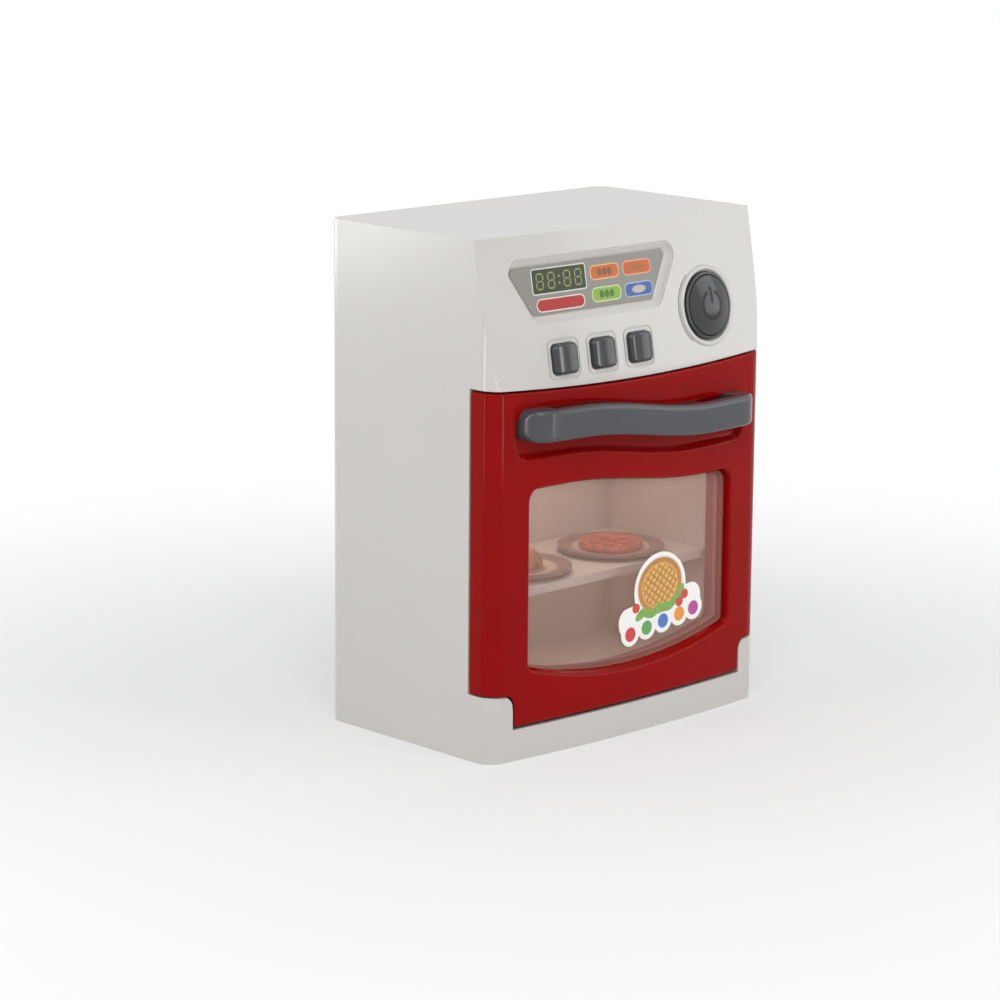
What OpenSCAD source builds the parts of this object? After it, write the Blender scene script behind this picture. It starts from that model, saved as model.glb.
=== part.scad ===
// Toy oven with a drop-down door, a leaning control panel, light and sound.
// x runs to the right, y to the back and z up; the origin is the middle of the footprint.
// Pieces are drawn from the foremost point of the bulged front (y = 0) and moved back by place().

/* [Casing] */
// Width of the casing
body_w = 129; // [126:0.5:138]
// Height of the casing
body_h = 172; // [170:0.5:182]
// Depth of the casing, from the foremost point of its bulged front to its back
body_d = 82; // [81:0.5:92]
// Radius of the bulge of the front, in plan
bulge_r = 614; // [500:2:1200]
// Radius of the upright front corners
corner_r = 6; // [5:0.5:8]
// Radius of the upright back corners
back_r = 5; // [4.5:0.5:8]
// Wall thickness of the casing
wall = 2.2; // [1.8:0.1:2.5]
// Distance from the front to the joint between the two casing halves
split_y = 44; // [36:0.5:50]
// Height of the white plinth below the door
plinth_h = 10.6; // [10:0.1:14]
// Width of the corner blocks that carry the hinge pins
block_w = 10; // [9:0.5:13]
// Height of the corner blocks above the plinth
block_rise = 11.9; // [11:0.1:14]
// Radius of the rounded inner top corner of a corner block
block_r = 3; // [2:0.5:5]

/* [Control panel] */
// Angle at which the panel leans back
lean = 10; // [4:0.5:12]
// How far the panel's lower edge sags in its middle
panel_sag = 2; // [0.5:0.1:3]
// Width of the display label along its upper edge
display_top_w = 73; // [60:0.5:74]
// Width of the display label along its lower edge
display_low_w = 54; // [46:0.5:58]
// Height of the display label
display_h = 16.4; // [14:0.1:18]
// Distance of the display's middle left of the panel's middle
display_left = 15; // [11:0.5:18]
// Distance of the display's lower edge above the panel's lower edge
display_up = 22.4; // [20:0.1:25]
// Depth of the display's recess
display_depth = 2.4; // [1.5:0.1:2.8]
// Width of the slope round the display
display_slope = 2.6; // [1.5:0.1:3]
// Width of a small push button
button_w = 10.4; // [9:0.1:12]
// Height of a small push button
button_h = 10; // [8:0.1:11]
// How far a small button stands proud of the panel
button_proud = 2.6; // [2:0.1:3.5]
// Distance between neighbouring small buttons
button_pitch = 17; // [15.5:0.1:18]
// Distance of the middle button left of the panel's middle
button_left_of = 16; // [14:0.5:18]
// Distance of the small buttons' middle above the panel's lower edge
button_up = 7.8; // [7.8:0.1:9]
// Diameter of the round power button
power_d = 23; // [20:0.1:24]
// Distance of the power button's middle from the panel's right edge
power_inset = 28.2; // [23.5:0.1:28.5]
// Distance of the power button's middle above the panel's lower edge
power_up = 17.8; // [17:0.1:21]
// Travel of every button
button_travel = 1.2; // [0.8:0.1:1.4]

/* [Door] */
// Height of the door at its sides
door_h = 112; // [110:0.5:118]
// Depth of the door, from its bulged face to its back edge
door_d = 12.5; // [12:0.1:14]
// Thickness of the door's skin
skin = 2; // [1.6:0.1:2.4]
// Gap round the closed door
door_gap = 0.7; // [0.5:0.05:1]
// Width of the window opening
window_w = 96.6; // [90:0.2:98]
// Height of the window opening on its left, from the ends of its bottom curve
window_h = 61; // [52:0.2:62]
// Height of the bottom corners of the window above the door's lower edge
window_sill = 18.4; // [17:0.2:20]
// How far the window's lower edge curves down in its middle
window_bow = 7.4; // [4:0.2:8]
// How much lower the window's upper edge is on the right
window_drop = 6; // [3:0.2:8]
// Width of the slope round the window
window_slope = 1.2; // [1:0.1:3.6]
// Width of the sticker on the window
sticker_w = 40; // [30:0.5:42]
// Height of the handle's bar
handle_h = 10.4; // [9:0.1:12]
// Distance of the handle's middle below the door's upper edge, on its left
handle_down = 11.4; // [10.6:0.1:12.4]
// How much lower the handle is on its right
handle_drop = 6.4; // [3:0.2:8]
// Distance between the two ends of the handle
handle_w = 106.5; // [104:0.5:114]
// How far the handle stands proud of the door
handle_proud = 9.2; // [8:0.1:9.2]
// Thickness of the handle's bar
handle_t = 3.8; // [3:0.1:4.2]
// Depth of the scoop in the door behind the handle
scoop_depth = 2.6; // [1.5:0.1:3]
// Height of the scoop behind the handle
scoop_h = 17; // [15:0.2:18.4]
// Radius of the hinge pins
pin_r = 1.5; // [1.2:0.05:1.7]

/* [Oven cavity] */
// Distance between the cavity and the outside of the casing at each side
side_room = 14.5; // [13.5:0.25:16.5]
// Height of the cavity
cavity_h = 90; // [86:0.5:92]
// Room between the liner's back wall and the battery pocket
back_room = 1.1; // [0.6:0.1:5]
// Height of the cavity's floor above the plinth
cavity_up = 5.4; // [5:0.1:7]
// Height of the shelf's top above the cavity's floor
shelf_up = 37.6; // [30:0.2:44]
// Thickness of the shelf
shelf_t = 1.4; // [1:0.1:2]
// Diameter of the play plates
plate_d = 37; // [30:0.5:41]
// Thickness of the liner's walls
liner_t = 1.6; // [1.2:0.1:2]

/* [Electrics] */
// Diameter of a battery
cell_d = 14; // [13.5:0.1:14.5]
// Length of a battery
cell_l = 50; // [49:0.1:51]
// Number of batteries
cell_count = 3; // [2:1:3]
// Diameter of the loudspeaker
speaker_d = 36; // [28:0.5:40]
// Thickness of the circuit board
board_t = 1.6; // [1:0.1:2]
// Diameter of a wire
wire_d = 1.2; // [0.8:0.1:1.6]

/* [Hidden] */
$fn = 64;

// Facets of the large arcs, which span only a few degrees
bulge_fn = 720;
// Overshoot of a cut beyond the surface it opens
eps = 0.5;
// Clearance between a piece and the guide it slides in
guide_gap = 0.2;
// Clearance between pieces that are only laid together
seat_gap = 0.1;
// Radial clearance of the door on its pins
pin_gap = 0.06;

half_w = body_w / 2;
mid_y = (body_d - handle_proud) / 2;
door_low = plinth_h + door_gap;
door_top = door_low + door_h;
panel_z = door_top + door_gap;
block_x = half_w - block_w;
block_z = plinth_h + block_rise;
panel_l = (body_h - panel_z) / cos(lean);
power_right = half_w - power_inset;

// The door's back edge and the face that it shuts against
frame_gap = 0.8;
frame_y = door_d + frame_gap;
frame_back = frame_y + wall;
roof_t = 1.4;

// The door's lower edge is rolled about the hinge axis, so that it turns clear of the casing
open_gap = 0.4;
hinge_r = (door_d + open_gap - door_gap) / 2;
// The axis lies this far in front of the middle, so that the door's corners clear the blocks' lower parts
hinge_forward = 1.1;
hinge_y = door_d - hinge_r - hinge_forward;
hinge_z = door_low + hinge_r;
door_edge = 1.2;
pin_l = 8;
lug_t = 3.4;
pin_end_gap = 0.3;
trough_wall = 1.6;
deck_z = hinge_z - turn_r(0) - trough_wall;

// Screws: heads and shanks
screw_head_r = 2.6;
screw_head_h = 1.8;
screw_r = 1.3;
pilot_gap = 0.02;
boss_r = 3.6;

// Flat lands behind the panel, where the flanges of the buttons rest
land_n = 5.2;
flange_t = 1.4;
flange_w = 1.3;
board_n = 14;
switch_h = 4.2;
switch_w = 6;
post_r = 1.5;
spring_wire = 0.5;

cavity_w = body_w - 2 * side_room;
cavity_z = plinth_h + cavity_up;
cavity_top = cavity_z + cavity_h;
shelf_top = cavity_z + shelf_up;
shelf_front = frame_y + 0.8;
rail_w = 2.5;
rail_t = 2;
side_gap = 0.3;

// Rows and places on the panel, measured along it from its lower edge
button_xs = [-button_left_of - button_pitch, -button_left_of, -button_left_of + button_pitch];

// Battery pocket in the rear casing, behind the liner
cell_pitch = cell_d + 0.6;
pocket_w = cell_l + 9;
pocket_h = cell_pitch * cell_count + 1.4;
pocket_z = cavity_z + 15;
pocket_wall = 1.4;
pocket_y = body_d - wall - cell_d - 1.2;
cavity_back = pocket_y - pocket_wall - back_room - liner_t;
cover_t = 1.8;
cover_lip = 4;
cover_drop = 9;

speaker_x = half_w - 38.5;
speaker_z = body_h - 32;
speaker_t = 9;
ring_t = 1.5;

white = [0.86, 0.85, 0.82];
red = [0.62, 0.04, 0.04];
grey = [0.25, 0.26, 0.28];

// ---------- shared shapes ----------

// How far an arc of radius r falls away from its tangent at x
function rise(r, x) = r - sqrt(r * r - x * x);

// Depth of the bulged front at x
function front_y(x) = rise(bulge_r, x);

// Radius that the door's lower front edge needs at x when it turns about the hinge axis
function turn_r(x) = open_gap + max(norm([hinge_y - front_y(x) - door_edge, hinge_r]),
    norm([hinge_y - front_y(x), hinge_r - door_edge]));

// Points on an arc from angle a0 to a1
function arc(c, r, a0, a1, n) = [for (i = [0:n]) let (a = a0 + (a1 - a0) * i / n)
    [c[0] + r * cos(a), c[1] + r * sin(a)]];

// Value part of the way from a to b
function between(a, b, t) = a + (b - a) * t;

// A step that eases from 0 at x0 to 1 at x1, and the number of stretches that draw it
wave_steps = 22;
function ease(x, x0, x1) = let (t = min(max((x - x0) / (x1 - x0), 0), 1)) (1 - cos(180 * t)) / 2;

// Moves a piece from the front's foremost point to the middle of the footprint
module place() { translate([0, -mid_y, 0]) children(); }

// Frame of the leaning panel: x right, y up along the panel, z out of it
module on_panel() { translate([0, 0, panel_z]) rotate([90 - lean, 0, 0]) children(); }

// Turns an elevation, drawn in x and z, into a solid between two depths
module through(y0, y1) { translate([0, y1, 0]) rotate([90, 0, 0]) linear_extrude(y1 - y0) children(); }

// Rectangle with round corners, from its middle
module round_rect(w, h, r) {
    square([w - 2 * r, h], center = true);
    square([w, h - 2 * r], center = true);
    for (x = [-1, 1], y = [-1, 1]) translate([x * (w / 2 - r), y * (h / 2 - r)]) circle(r);
}

// Plan of the casing, drawn in from its outside: bulged front, round corners
module plan(inset = 0) {
    hw = half_w - inset;
    r = corner_r - inset;
    big = bulge_r - inset;
    rear_r = back_r - inset;
    back = body_d - inset;
    c = [hw - r, bulge_r - sqrt(pow(big - r, 2) - pow(hw - r, 2))];
    u = [c[0], c[1] - bulge_r] / (big - r);
    difference() {
        intersection() {
            translate([0, bulge_r]) circle(big, $fn = bulge_fn);
            union() {
                translate([-hw, -eps]) square([2 * hw, back - rear_r + eps]);
                translate([-hw + rear_r, 0]) square([2 * (hw - rear_r), back]);
                for (x = [-1, 1]) translate([x * (hw - rear_r), back - rear_r]) circle(rear_r);
            }
        }
        for (m = [0, 1]) mirror([m, 0])
            polygon([c, c + u * 3 * r, [hw + 2 * r, c[1] - 4 * r], [hw + 2 * r, c[1]]]);
    }
    for (x = [-1, 1]) translate([x * c[0], c[1]]) circle(r);
}

// The leaning front, as a great cylinder tipped back about the panel's lower edge
module lean_cut(inset = 0) {
    on_panel() translate([0, body_h, -bulge_r]) rotate([90, 0, 0])
        cylinder(r = bulge_r - inset, h = 3 * body_h, $fn = bulge_fn);
}

// The whole casing as a solid, drawn in from its outside
module body_block(inset = 0) {
    intersection() {
        translate([0, 0, inset]) linear_extrude(body_h - 2 * inset) plan(inset);
        lean_cut(inset);
    }
}

// Slab across the whole casing between two depths and two heights
module slab(y0, y1, z0, z1) { translate([-body_w, y0, z0]) cube([2 * body_w, y1 - y0, z1 - z0]); }

// Everything below the sagging lower edge of the panel, in elevation
module below_panel(z) {
    r = (pow(half_w, 2) + pow(panel_sag, 2)) / (2 * panel_sag);
    difference() {
        translate([-body_w, -body_h]) square([2 * body_w, body_h + z]);
        translate([0, z - panel_sag + r]) circle(r, $fn = bulge_fn * 2);
    }
}

// Outline of the two corner blocks in elevation, grown by a gap
module block_outline(grow = 0) {
    x = block_x - grow;
    z = block_z + grow;
    r = block_r + grow;
    for (m = [0, 1]) mirror([m, 0]) {
        translate([x, -eps]) square([body_w, z - r + eps]);
        translate([x + r, -eps]) square([body_w, z + eps]);
        translate([x + r, z - r]) circle(r);
    }
}

// The two corner blocks, grown by a gap
module blocks(grow = 0) {
    intersection() {
        through(-2 * corner_r, frame_back) block_outline(grow);
        union() {
            slab(hinge_y, frame_back + eps, -eps, body_h);
            slab(-3 * corner_r, hinge_y + eps, -eps, hinge_z);
        }
    }
    block_turned(grow);
}

// Upper front part of the blocks, turned about the hinge axis, so that the door clears them as it opens
module block_turned(grow) {
    top = block_z - hinge_z + grow;
    x = block_x - grow;
    r = block_r + grow;
    for (m = [0, 1]) mirror([m, 0, 0]) translate([0, hinge_y, hinge_z]) rotate([0, 90, 0]) rotate(180)
        rotate_extrude(angle = 90) intersection() {
            union() {
                translate([0, x + r]) square([top, half_w]);
                translate([0, x]) square([top - r, half_w]);
                translate([top - r, x + r]) circle(r);
            }
            square([top, 2 * body_w]);
        }
}

// Sweeps a profile, drawn about the hinge axis, from x0 to x1
module along_hinge(x0, x1) {
    translate([x0, hinge_y, hinge_z]) rotate([90, 0, 90]) linear_extrude(x1 - x0) children();
}

// Self-tapping screw with its head's top at the origin, pointing down z
module screw(length) {
    difference() {
        union() {
            translate([0, 0, -screw_head_h]) cylinder(r = screw_head_r, h = screw_head_h);
            translate([0, 0, -length]) cylinder(r = screw_r, h = length - screw_head_h + eps);
        }
        for (a = [0, 90]) rotate(a) translate([-1.6, -0.35, -0.9]) cube([3.2, 0.7, 0.9 + eps]);
    }
}

// Rings of a tube round a path, swept with a steady side direction
function unit(v) = v / norm(v);
function path_dir(p, i) = unit(p[min(i + 1, len(p) - 1)] - p[max(i - 1, 0)]);
function ring(p, i, r, sides, side_ref) = let (
    d = path_dir(p, i), u = unit(cross(d, side_ref)), v = cross(d, u))
    [for (k = [0:sides - 1]) p[i] + r * (cos(360 * k / sides) * u + sin(360 * k / sides) * v)];
module tube(p, r, sides, side_ref = [0.31, 0.17, 0.11]) {
    n = len(p);
    polyhedron(
        [for (i = [0:n - 1]) each ring(p, i, r, sides, side_ref)],
        concat(
            [[for (k = [0:sides - 1]) k]],
            [[for (k = [0:sides - 1]) n * sides - 1 - k]],
            [for (i = [0:n - 2], k = [0:sides - 1])
                [i * sides + k, (i + 1) * sides + k, i * sides + (k + 1) % sides]],
            [for (i = [0:n - 2], k = [0:sides - 1])
                [i * sides + (k + 1) % sides, (i + 1) * sides + k, (i + 1) * sides + (k + 1) % sides]]));
}

// Helix of a coil spring from z = 0 up, wound r0 wide at its foot and r1 wide at its top
coil_steps = 8;
module coil(r0, r1, wire_r, height, turns) {
    n = coil_steps * turns;
    tube([for (i = [0:n]) let (t = i / n, r = r0 + (r1 - r0) * t)
            [r * cos(360 * turns * t), r * sin(360 * turns * t), wire_r + (height - 2 * wire_r) * t]],
        wire_r, 6, [0, 0, 1]);
}

// Smooth path through hand-chosen points
path_steps = 4;
function spline_point(a, b, c, d, t) = 0.5 * (2 * b + (c - a) * t
    + (2 * a - 5 * b + 4 * c - d) * t * t + (3 * b - a - 3 * c + d) * t * t * t);
function smooth(p) = let (n = len(p)) [
    for (i = [0:n - 2], k = [0:path_steps - 1])
        spline_point(p[max(i - 1, 0)], p[i], p[i + 1], p[min(i + 2, n - 1)], k / path_steps),
    p[n - 1]];

// ---------- outlines ----------

// The window: a wavy upper edge and a bowed lower one, grown by g
window_r = 3.5;
window_top_r = 5;
least_r = 1;
window_z = door_low + window_sill;
window_bow_r = (pow(window_w / 2, 2) + pow(window_bow, 2)) / (2 * window_bow);
window_wave_l = 31;
window_wave_r = 35;
function window_edge(x) = window_z + window_h - window_drop * ease(x, -window_wave_l, window_wave_r);
function window_outline(g) = let (
    hw = window_w / 2 + g,
    r = max(window_r + g, least_r),
    top_r = max(window_top_r + g, least_r),
    bow = [0, window_z - window_bow + window_bow_r],
    low = [hw - r, bow[1] - sqrt(pow(window_bow_r + g - r, 2) - pow(hw - r, 2))],
    turn = atan2(low[0], bow[1] - low[1]),
    tr = [hw - top_r, window_edge(hw) + g - top_r],
    tl = [-hw + top_r, window_edge(-hw) + g - top_r])
    concat(
        arc(tr, top_r, 0, 90, 6),
        [for (i = [0:wave_steps]) let (x = between(window_wave_r, -window_wave_l, i / wave_steps))
            [x, window_edge(x) + g]],
        arc(tl, top_r, 90, 180, 6),
        arc([-low[0], low[1]], r, 180, 270 - turn, 5),
        [for (i = [1:23]) let (a = 270 - turn + 2 * turn * i / 24)
            bow + (window_bow_r + g) * [cos(a), sin(a)]],
        arc(low, r, 270 + turn, 360, 5));

// A band that steps down to the right, for the handle and its scoop
handle_mid = 0.2;
wave_l = 33;
wave_r = 29;
function handle_z(x) = door_top - handle_down - handle_drop * ease(x, -wave_l, wave_r);
function band_outline(half_l, half_h, r, down) = let (
    xl = handle_mid - half_l + r, xr = handle_mid + half_l - r)
    concat(
        [for (i = [0:wave_steps]) let (x = between(wave_r, -wave_l, i / wave_steps))
            [x, handle_z(x) - down + half_h]],
        arc([xl, handle_z(xl) - down + half_h - r], r, 90, 180, 6),
        arc([xl, handle_z(xl) - down - half_h + r], r, 180, 270, 6),
        [for (i = [0:wave_steps]) let (x = between(-wave_l, wave_r, i / wave_steps))
            [x, handle_z(x) - down - half_h]],
        arc([xr, handle_z(xr) - down - half_h + r], r, 270, 360, 6),
        arc([xr, handle_z(xr) - down + half_h - r], r, 0, 90, 6));
scoop_down = scoop_h / 2 - handle_h / 2 + 0.2;

// The display: narrower below, with round corners, grown by g
display_r = 2;
function display_outline(g) = let (
    t = atan2((display_top_w - display_low_w) / 2, display_h),
    top = display_up + display_h - display_r,
    low = display_up + display_r,
    top_x = display_top_w / 2 - display_r * (1 + sin(t)) / cos(t),
    low_x = display_low_w / 2 - display_r * (1 - sin(t)) / cos(t),
    m = -display_left)
    concat(
        arc([m + top_x, top], display_r + g, -t, 90, 5),
        arc([m - top_x, top], display_r + g, 90, 180 + t, 5),
        arc([m - low_x, low], display_r + g, 180 + t, 270, 5),
        arc([m + low_x, low], display_r + g, 270, 360 - t, 5));

// ---------- casing ----------

// Screws between the casing halves: x and z
casing_screw_x = half_w - wall - boss_r - 1.6;
casing_screws_at = [for (x = [-1, 1], z = [door_low + 17, body_h - 18]) [x * casing_screw_x, z]];
casing_screw_l = 12;
casing_post_l = 14;
casing_seat = 3.6;
lip_l = 3;
lip_t = 1.2;
lip_gap = 0.15;

// Screws of the liner, in posts on the back of the face behind the door
liner_post_l = 4;
liner_ear_t = 2;
liner_screw_x = cavity_w / 2 + liner_t + 3.4;
liner_screw_up = 24;
liner_screw_down = 14;
liner_screws_at = [for (x = [-1, 1], z = [cavity_z + liner_screw_up, cavity_top - liner_screw_down])
    [x * liner_screw_x, z]];
liner_screw_l = 8;

board_w = body_w - 19;
board_low = 4;
board_h = panel_l - board_low - 10.74;
board_middle = board_low + board_h / 2;
board_mid = 3;
board_inset = 4;
board_screws_at = [for (x = [-1, 1], y = [board_inset, board_h - board_inset])
    [board_mid + x * (board_w / 2 - board_inset), board_low + y]];
board_screw_l = 7;

// Opening of the cavity in the face behind the door
module cavity_block(inset, y0, y1) {
    translate([-cavity_w / 2 - inset, y0, cavity_z - inset])
        cube([cavity_w + 2 * inset, y1 - y0, cavity_h + 2 * inset]);
}

// Room that the door's lower edge needs when it turns
module trough() {
    steps = 12;
    translate([0, hinge_y, hinge_z]) rotate([0, 90, 0]) rotate_extrude()
        polygon(concat(
            [[0, -block_x]],
            [for (i = [0:steps]) let (x = block_x * (2 * i / steps - 1)) [turn_r(x), x]],
            [[0, block_x]]));
}

module front_walls() {
    difference() {
        union() {
            difference() {
                intersection() {
                    body_block();
                    slab(-eps, split_y, -eps, body_h + eps);
                }
                body_block(wall);
                // room for the door, down to the lip of the plinth
                through(-2 * corner_r, frame_y) intersection() {
                    below_panel(panel_z);
                    translate([-body_w, plinth_h]) square([2 * body_w, body_h]);
                }
            }
            intersection() {
                body_block();
                slab(-eps, frame_back, deck_z, plinth_h);
            }
        }
        trough();
    }
    intersection() {
        body_block();
        union() {
            // roof over the door
            through(-2 * corner_r, frame_back) difference() {
                below_panel(panel_z + roof_t);
                below_panel(panel_z);
            }
            // face that the door shuts against
            through(frame_y, frame_back) intersection() {
                below_panel(panel_z + roof_t);
                translate([-body_w, deck_z]) square([2 * body_w, body_h]);
            }
            blocks();
        }
    }
}

module front_posts() {
    for (p = casing_screws_at) {
        translate([p[0], split_y, p[1]]) rotate([90, 0, 0]) cylinder(r = boss_r, h = casing_post_l);
        translate([p[0] > 0 ? p[0] : -half_w + wall / 2, split_y - casing_post_l, p[1] - 1])
            cube([half_w - wall / 2 - abs(p[0]), casing_post_l - lip_l - 2 * lip_gap, 2]);
    }
    for (p = liner_screws_at) translate([p[0], frame_back - eps, p[1]]) rotate([-90, 0, 0])
        cylinder(r = screw_head_r, h = liner_post_l + eps);
}

module panel_backing() {
    intersection() {
        body_block();
        on_panel() {
            // collars with flat lands behind the buttons
            for (x = button_xs) translate([x, button_up, -land_n])
                linear_extrude(land_n) round_rect(button_w + 5, button_h + 5, 2.5);
            translate([power_right, power_up, -land_n]) cylinder(r = power_d / 2 + 3.4, h = land_n);
            // floor behind the display
            difference() {
                translate([0, 0, -2 * land_n]) linear_extrude(2 * land_n)
                    polygon(display_outline(display_slope + 1.4));
                panel_roll(bulge_r - display_depth - wall);
            }
            // posts for the board
            for (p = board_screws_at) translate([p[0], p[1], -board_n]) cylinder(r = 3, h = board_n);
        }
    }
}

// Cylinder whose axis runs up behind the leaning panel
module panel_roll(r) {
    translate([0, body_h, -bulge_r]) rotate([90, 0, 0]) cylinder(r = r, h = 2 * body_h, $fn = bulge_fn);
}

// Rim round the power button
rim_r = 0.9;
module power_rim() {
    translate([power_right, power_up, -rise(bulge_r, power_right) - rim_r])
        rotate([0, asin(power_right / bulge_r), 0]) rotate_extrude() translate([power_d / 2 + 1.3, 0]) {
            translate([-rim_r, 0]) square([2 * rim_r, rim_r]);
            translate([0, rim_r]) circle(rim_r);
        }
}

// Recess of the display, whose edge steps down to a floor that follows the bulge
edge_steps = 4;
module display_recess() {
    for (k = [0:edge_steps]) difference() {
        translate([0, 0, -2 * land_n]) linear_extrude(3 * land_n)
            polygon(display_outline(display_slope * (1 - k / edge_steps)));
        panel_roll(bulge_r - display_depth * min(k + 0.5, edge_steps) / edge_steps);
    }
}

module front_casing() color(white) place() difference() {
    union() {
        front_walls();
        front_posts();
        panel_backing();
        on_panel() power_rim();
    }
    cavity_block(0, frame_y - eps, frame_back + eps);
    on_panel() {
        for (x = button_xs) translate([x, button_up, -land_n - eps])
            linear_extrude(2 * land_n) round_rect(button_w + 2 * guide_gap, button_h + 2 * guide_gap, 2);
        translate([power_right, power_up, -land_n - eps])
            cylinder(r = power_d / 2 + guide_gap, h = 2 * land_n);
        display_recess();
        for (p = board_screws_at) translate([p[0], p[1], -board_n - eps])
            cylinder(r = screw_r + pilot_gap, h = board_screw_l - board_t - screw_head_h + 2 * eps);
        panel_grooves();
    }
    for (p = casing_screws_at) translate([p[0], split_y + eps, p[1]]) rotate([90, 0, 0])
        cylinder(r = screw_r + pilot_gap, h = casing_screw_l - casing_seat + 2 * eps);
    for (p = liner_screws_at) translate([p[0], frame_back + liner_post_l + eps, p[1]]) rotate([90, 0, 0])
        cylinder(r = screw_r + pilot_gap, h = liner_screw_l - liner_ear_t - screw_head_h + 2 * eps);
    // seats of the hinge pins
    for (m = [0, 1]) mirror([m, 0, 0]) translate([block_x - eps, hinge_y, hinge_z]) rotate([0, 90, 0])
        cylinder(r = pin_r + pilot_gap, h = pin_l - door_gap - lug_t + pin_end_gap + eps);
}

// Fine grooves moulded in the panel: round each button and beside the power button
groove_w = 0.5;
groove_depth = 0.35;
module groove_frame(w, h, r) {
    difference() {
        round_rect(w, h, r);
        round_rect(w - 2 * groove_w, h - 2 * groove_w, r - groove_w);
    }
}
module panel_grooves() {
    reach = power_d / 2 + 2.9;
    difference() {
        translate([0, 0, -land_n + eps]) linear_extrude(2 * land_n) {
            for (x = button_xs) translate([x, button_up]) groove_frame(button_w + 3.4, button_h + 3.4, 2.6);
            // line that passes the power button on its left
            translate([power_right, power_up]) difference() {
                circle(reach);
                circle(reach - groove_w);
                translate([-reach * 0.62, -2 * reach]) square([3 * reach, 4 * reach]);
            }
        }
        panel_roll(bulge_r - groove_depth);
    }
}

module rear_casing() color(white) place() difference() {
    union() {
        difference() {
            intersection() {
                body_block();
                slab(split_y, body_d + eps, -eps, body_h + eps);
            }
            body_block(wall);
        }
        // lip that slides into the front half
        difference() {
            union() {
                intersection() {
                    body_block(wall + lip_gap);
                    slab(split_y - lip_l, split_y + eps, 0, body_h);
                }
                intersection() {
                    body_block(wall - eps);
                    slab(split_y, split_y + lip_l, 0, body_h);
                }
            }
            body_block(wall + lip_gap + lip_t);
        }
        intersection() {
            body_block();
            union() {
                for (p = casing_screws_at) translate([p[0], split_y, p[1]]) rotate([-90, 0, 0])
                    cylinder(r = boss_r + 0.8, h = body_d - split_y);
                pocket_outside();
                speaker_posts();
            }
        }
    }
    for (p = casing_screws_at) translate([p[0], 0, p[1]]) rotate([-90, 0, 0]) {
        translate([0, 0, split_y + casing_seat]) cylinder(r = screw_head_r + side_gap, h = body_d);
        translate([0, 0, split_y - eps]) cylinder(r = screw_r + lip_gap, h = casing_seat + 2 * eps);
    }
    pocket_inside();
    speaker_grille();
    for (p = speaker_screws_at) translate([p[0], speaker_back + speaker_screw_in + lip_gap, p[1]])
        rotate([90, 0, 0])
        cylinder(r = screw_small_r + pilot_gap, h = speaker_screw_in + lip_gap + speaker_rim_t + eps);
}

module casing_screws() color("silver") place() for (p = casing_screws_at)
    translate([p[0], split_y + casing_seat + screw_head_h, p[1]]) rotate([-90, 0, 0])
        screw(casing_screw_l + screw_head_h);

// ---------- battery pocket ----------

cells_low = pocket_z + (pocket_h - cell_pitch * cell_count) / 2;
function cell_z(i) = cells_low + cell_pitch * (i + 0.5);
cell_y = pocket_y + 0.5 + cell_d / 2;
cover_screw_z = pocket_z - cover_drop / 2;
cover_boss_l = 9;
cover_gap = 0.3;
cup_r = screw_head_r + 1.4;
cup_floor = 1;
cup_l = screw_head_h + cup_floor + 0.2;

// Rectangle of the pocket, in elevation, grown to each side and downwards
module pocket_rect(grow, down) {
    translate([-pocket_w / 2 - grow, pocket_z - down])
        square([pocket_w + 2 * grow, pocket_h + down + grow]);
}
module pocket_outside() {
    through(pocket_y - pocket_wall, body_d) pocket_rect(pocket_wall, pocket_wall);
    through(body_d - cover_t - 2 * pocket_wall, body_d)
        pocket_rect(cover_lip + pocket_wall, cover_drop + pocket_wall);
    translate([0, body_d - cover_t, cover_screw_z]) rotate([90, 0, 0])
        cylinder(r = cup_r + cover_gap + 1, h = cover_boss_l);
}
module pocket_inside() {
    through(pocket_y, body_d + eps) pocket_rect(0, 0);
    through(body_d - cover_t - seat_gap, body_d + eps) pocket_rect(cover_lip, cover_drop);
    translate([0, body_d, cover_screw_z]) rotate([90, 0, 0]) {
        cylinder(r = cup_r + cover_gap, h = cup_l + seat_gap);
        cylinder(r = screw_r + pilot_gap, h = cover_t + cover_boss_l - 1);
    }
    // wires leave the pocket through two holes in its upper wall
    for (s = [-1, 1]) translate([s * wire_x, cell_y, pocket_z + pocket_h - eps])
        cylinder(r = wire_d / 2 + side_gap, h = pocket_wall + 2 * eps);
}

module battery_cover() color(white) place() difference() {
    union() {
        through(body_d - cover_t, body_d) pocket_rect(cover_lip - cover_gap, cover_drop - cover_gap);
        // cup for the head of the screw
        translate([0, body_d - eps, cover_screw_z]) rotate([90, 0, 0]) cylinder(r = cup_r, h = cup_l - eps);
        // ribs that reach into the pocket
        through(body_d - cover_t - 1, body_d - eps) difference() {
            pocket_rect(-cover_gap, -cover_gap);
            pocket_rect(-cover_gap - 1.2, -cover_gap - 1.2);
        }
    }
    translate([0, body_d + eps, cover_screw_z]) rotate([90, 0, 0]) {
        cylinder(r = screw_head_r + cover_gap, h = cup_l - cup_floor + eps);
        cylinder(r = screw_r + lip_gap, h = cup_l + 2 * eps);
    }
}
cover_screw_l = 8;
module cover_screw() color("silver") place()
    translate([0, body_d - cup_l + cup_floor + screw_head_h + 0.02, cover_screw_z]) rotate([-90, 0, 0])
        screw(cover_screw_l);

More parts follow.
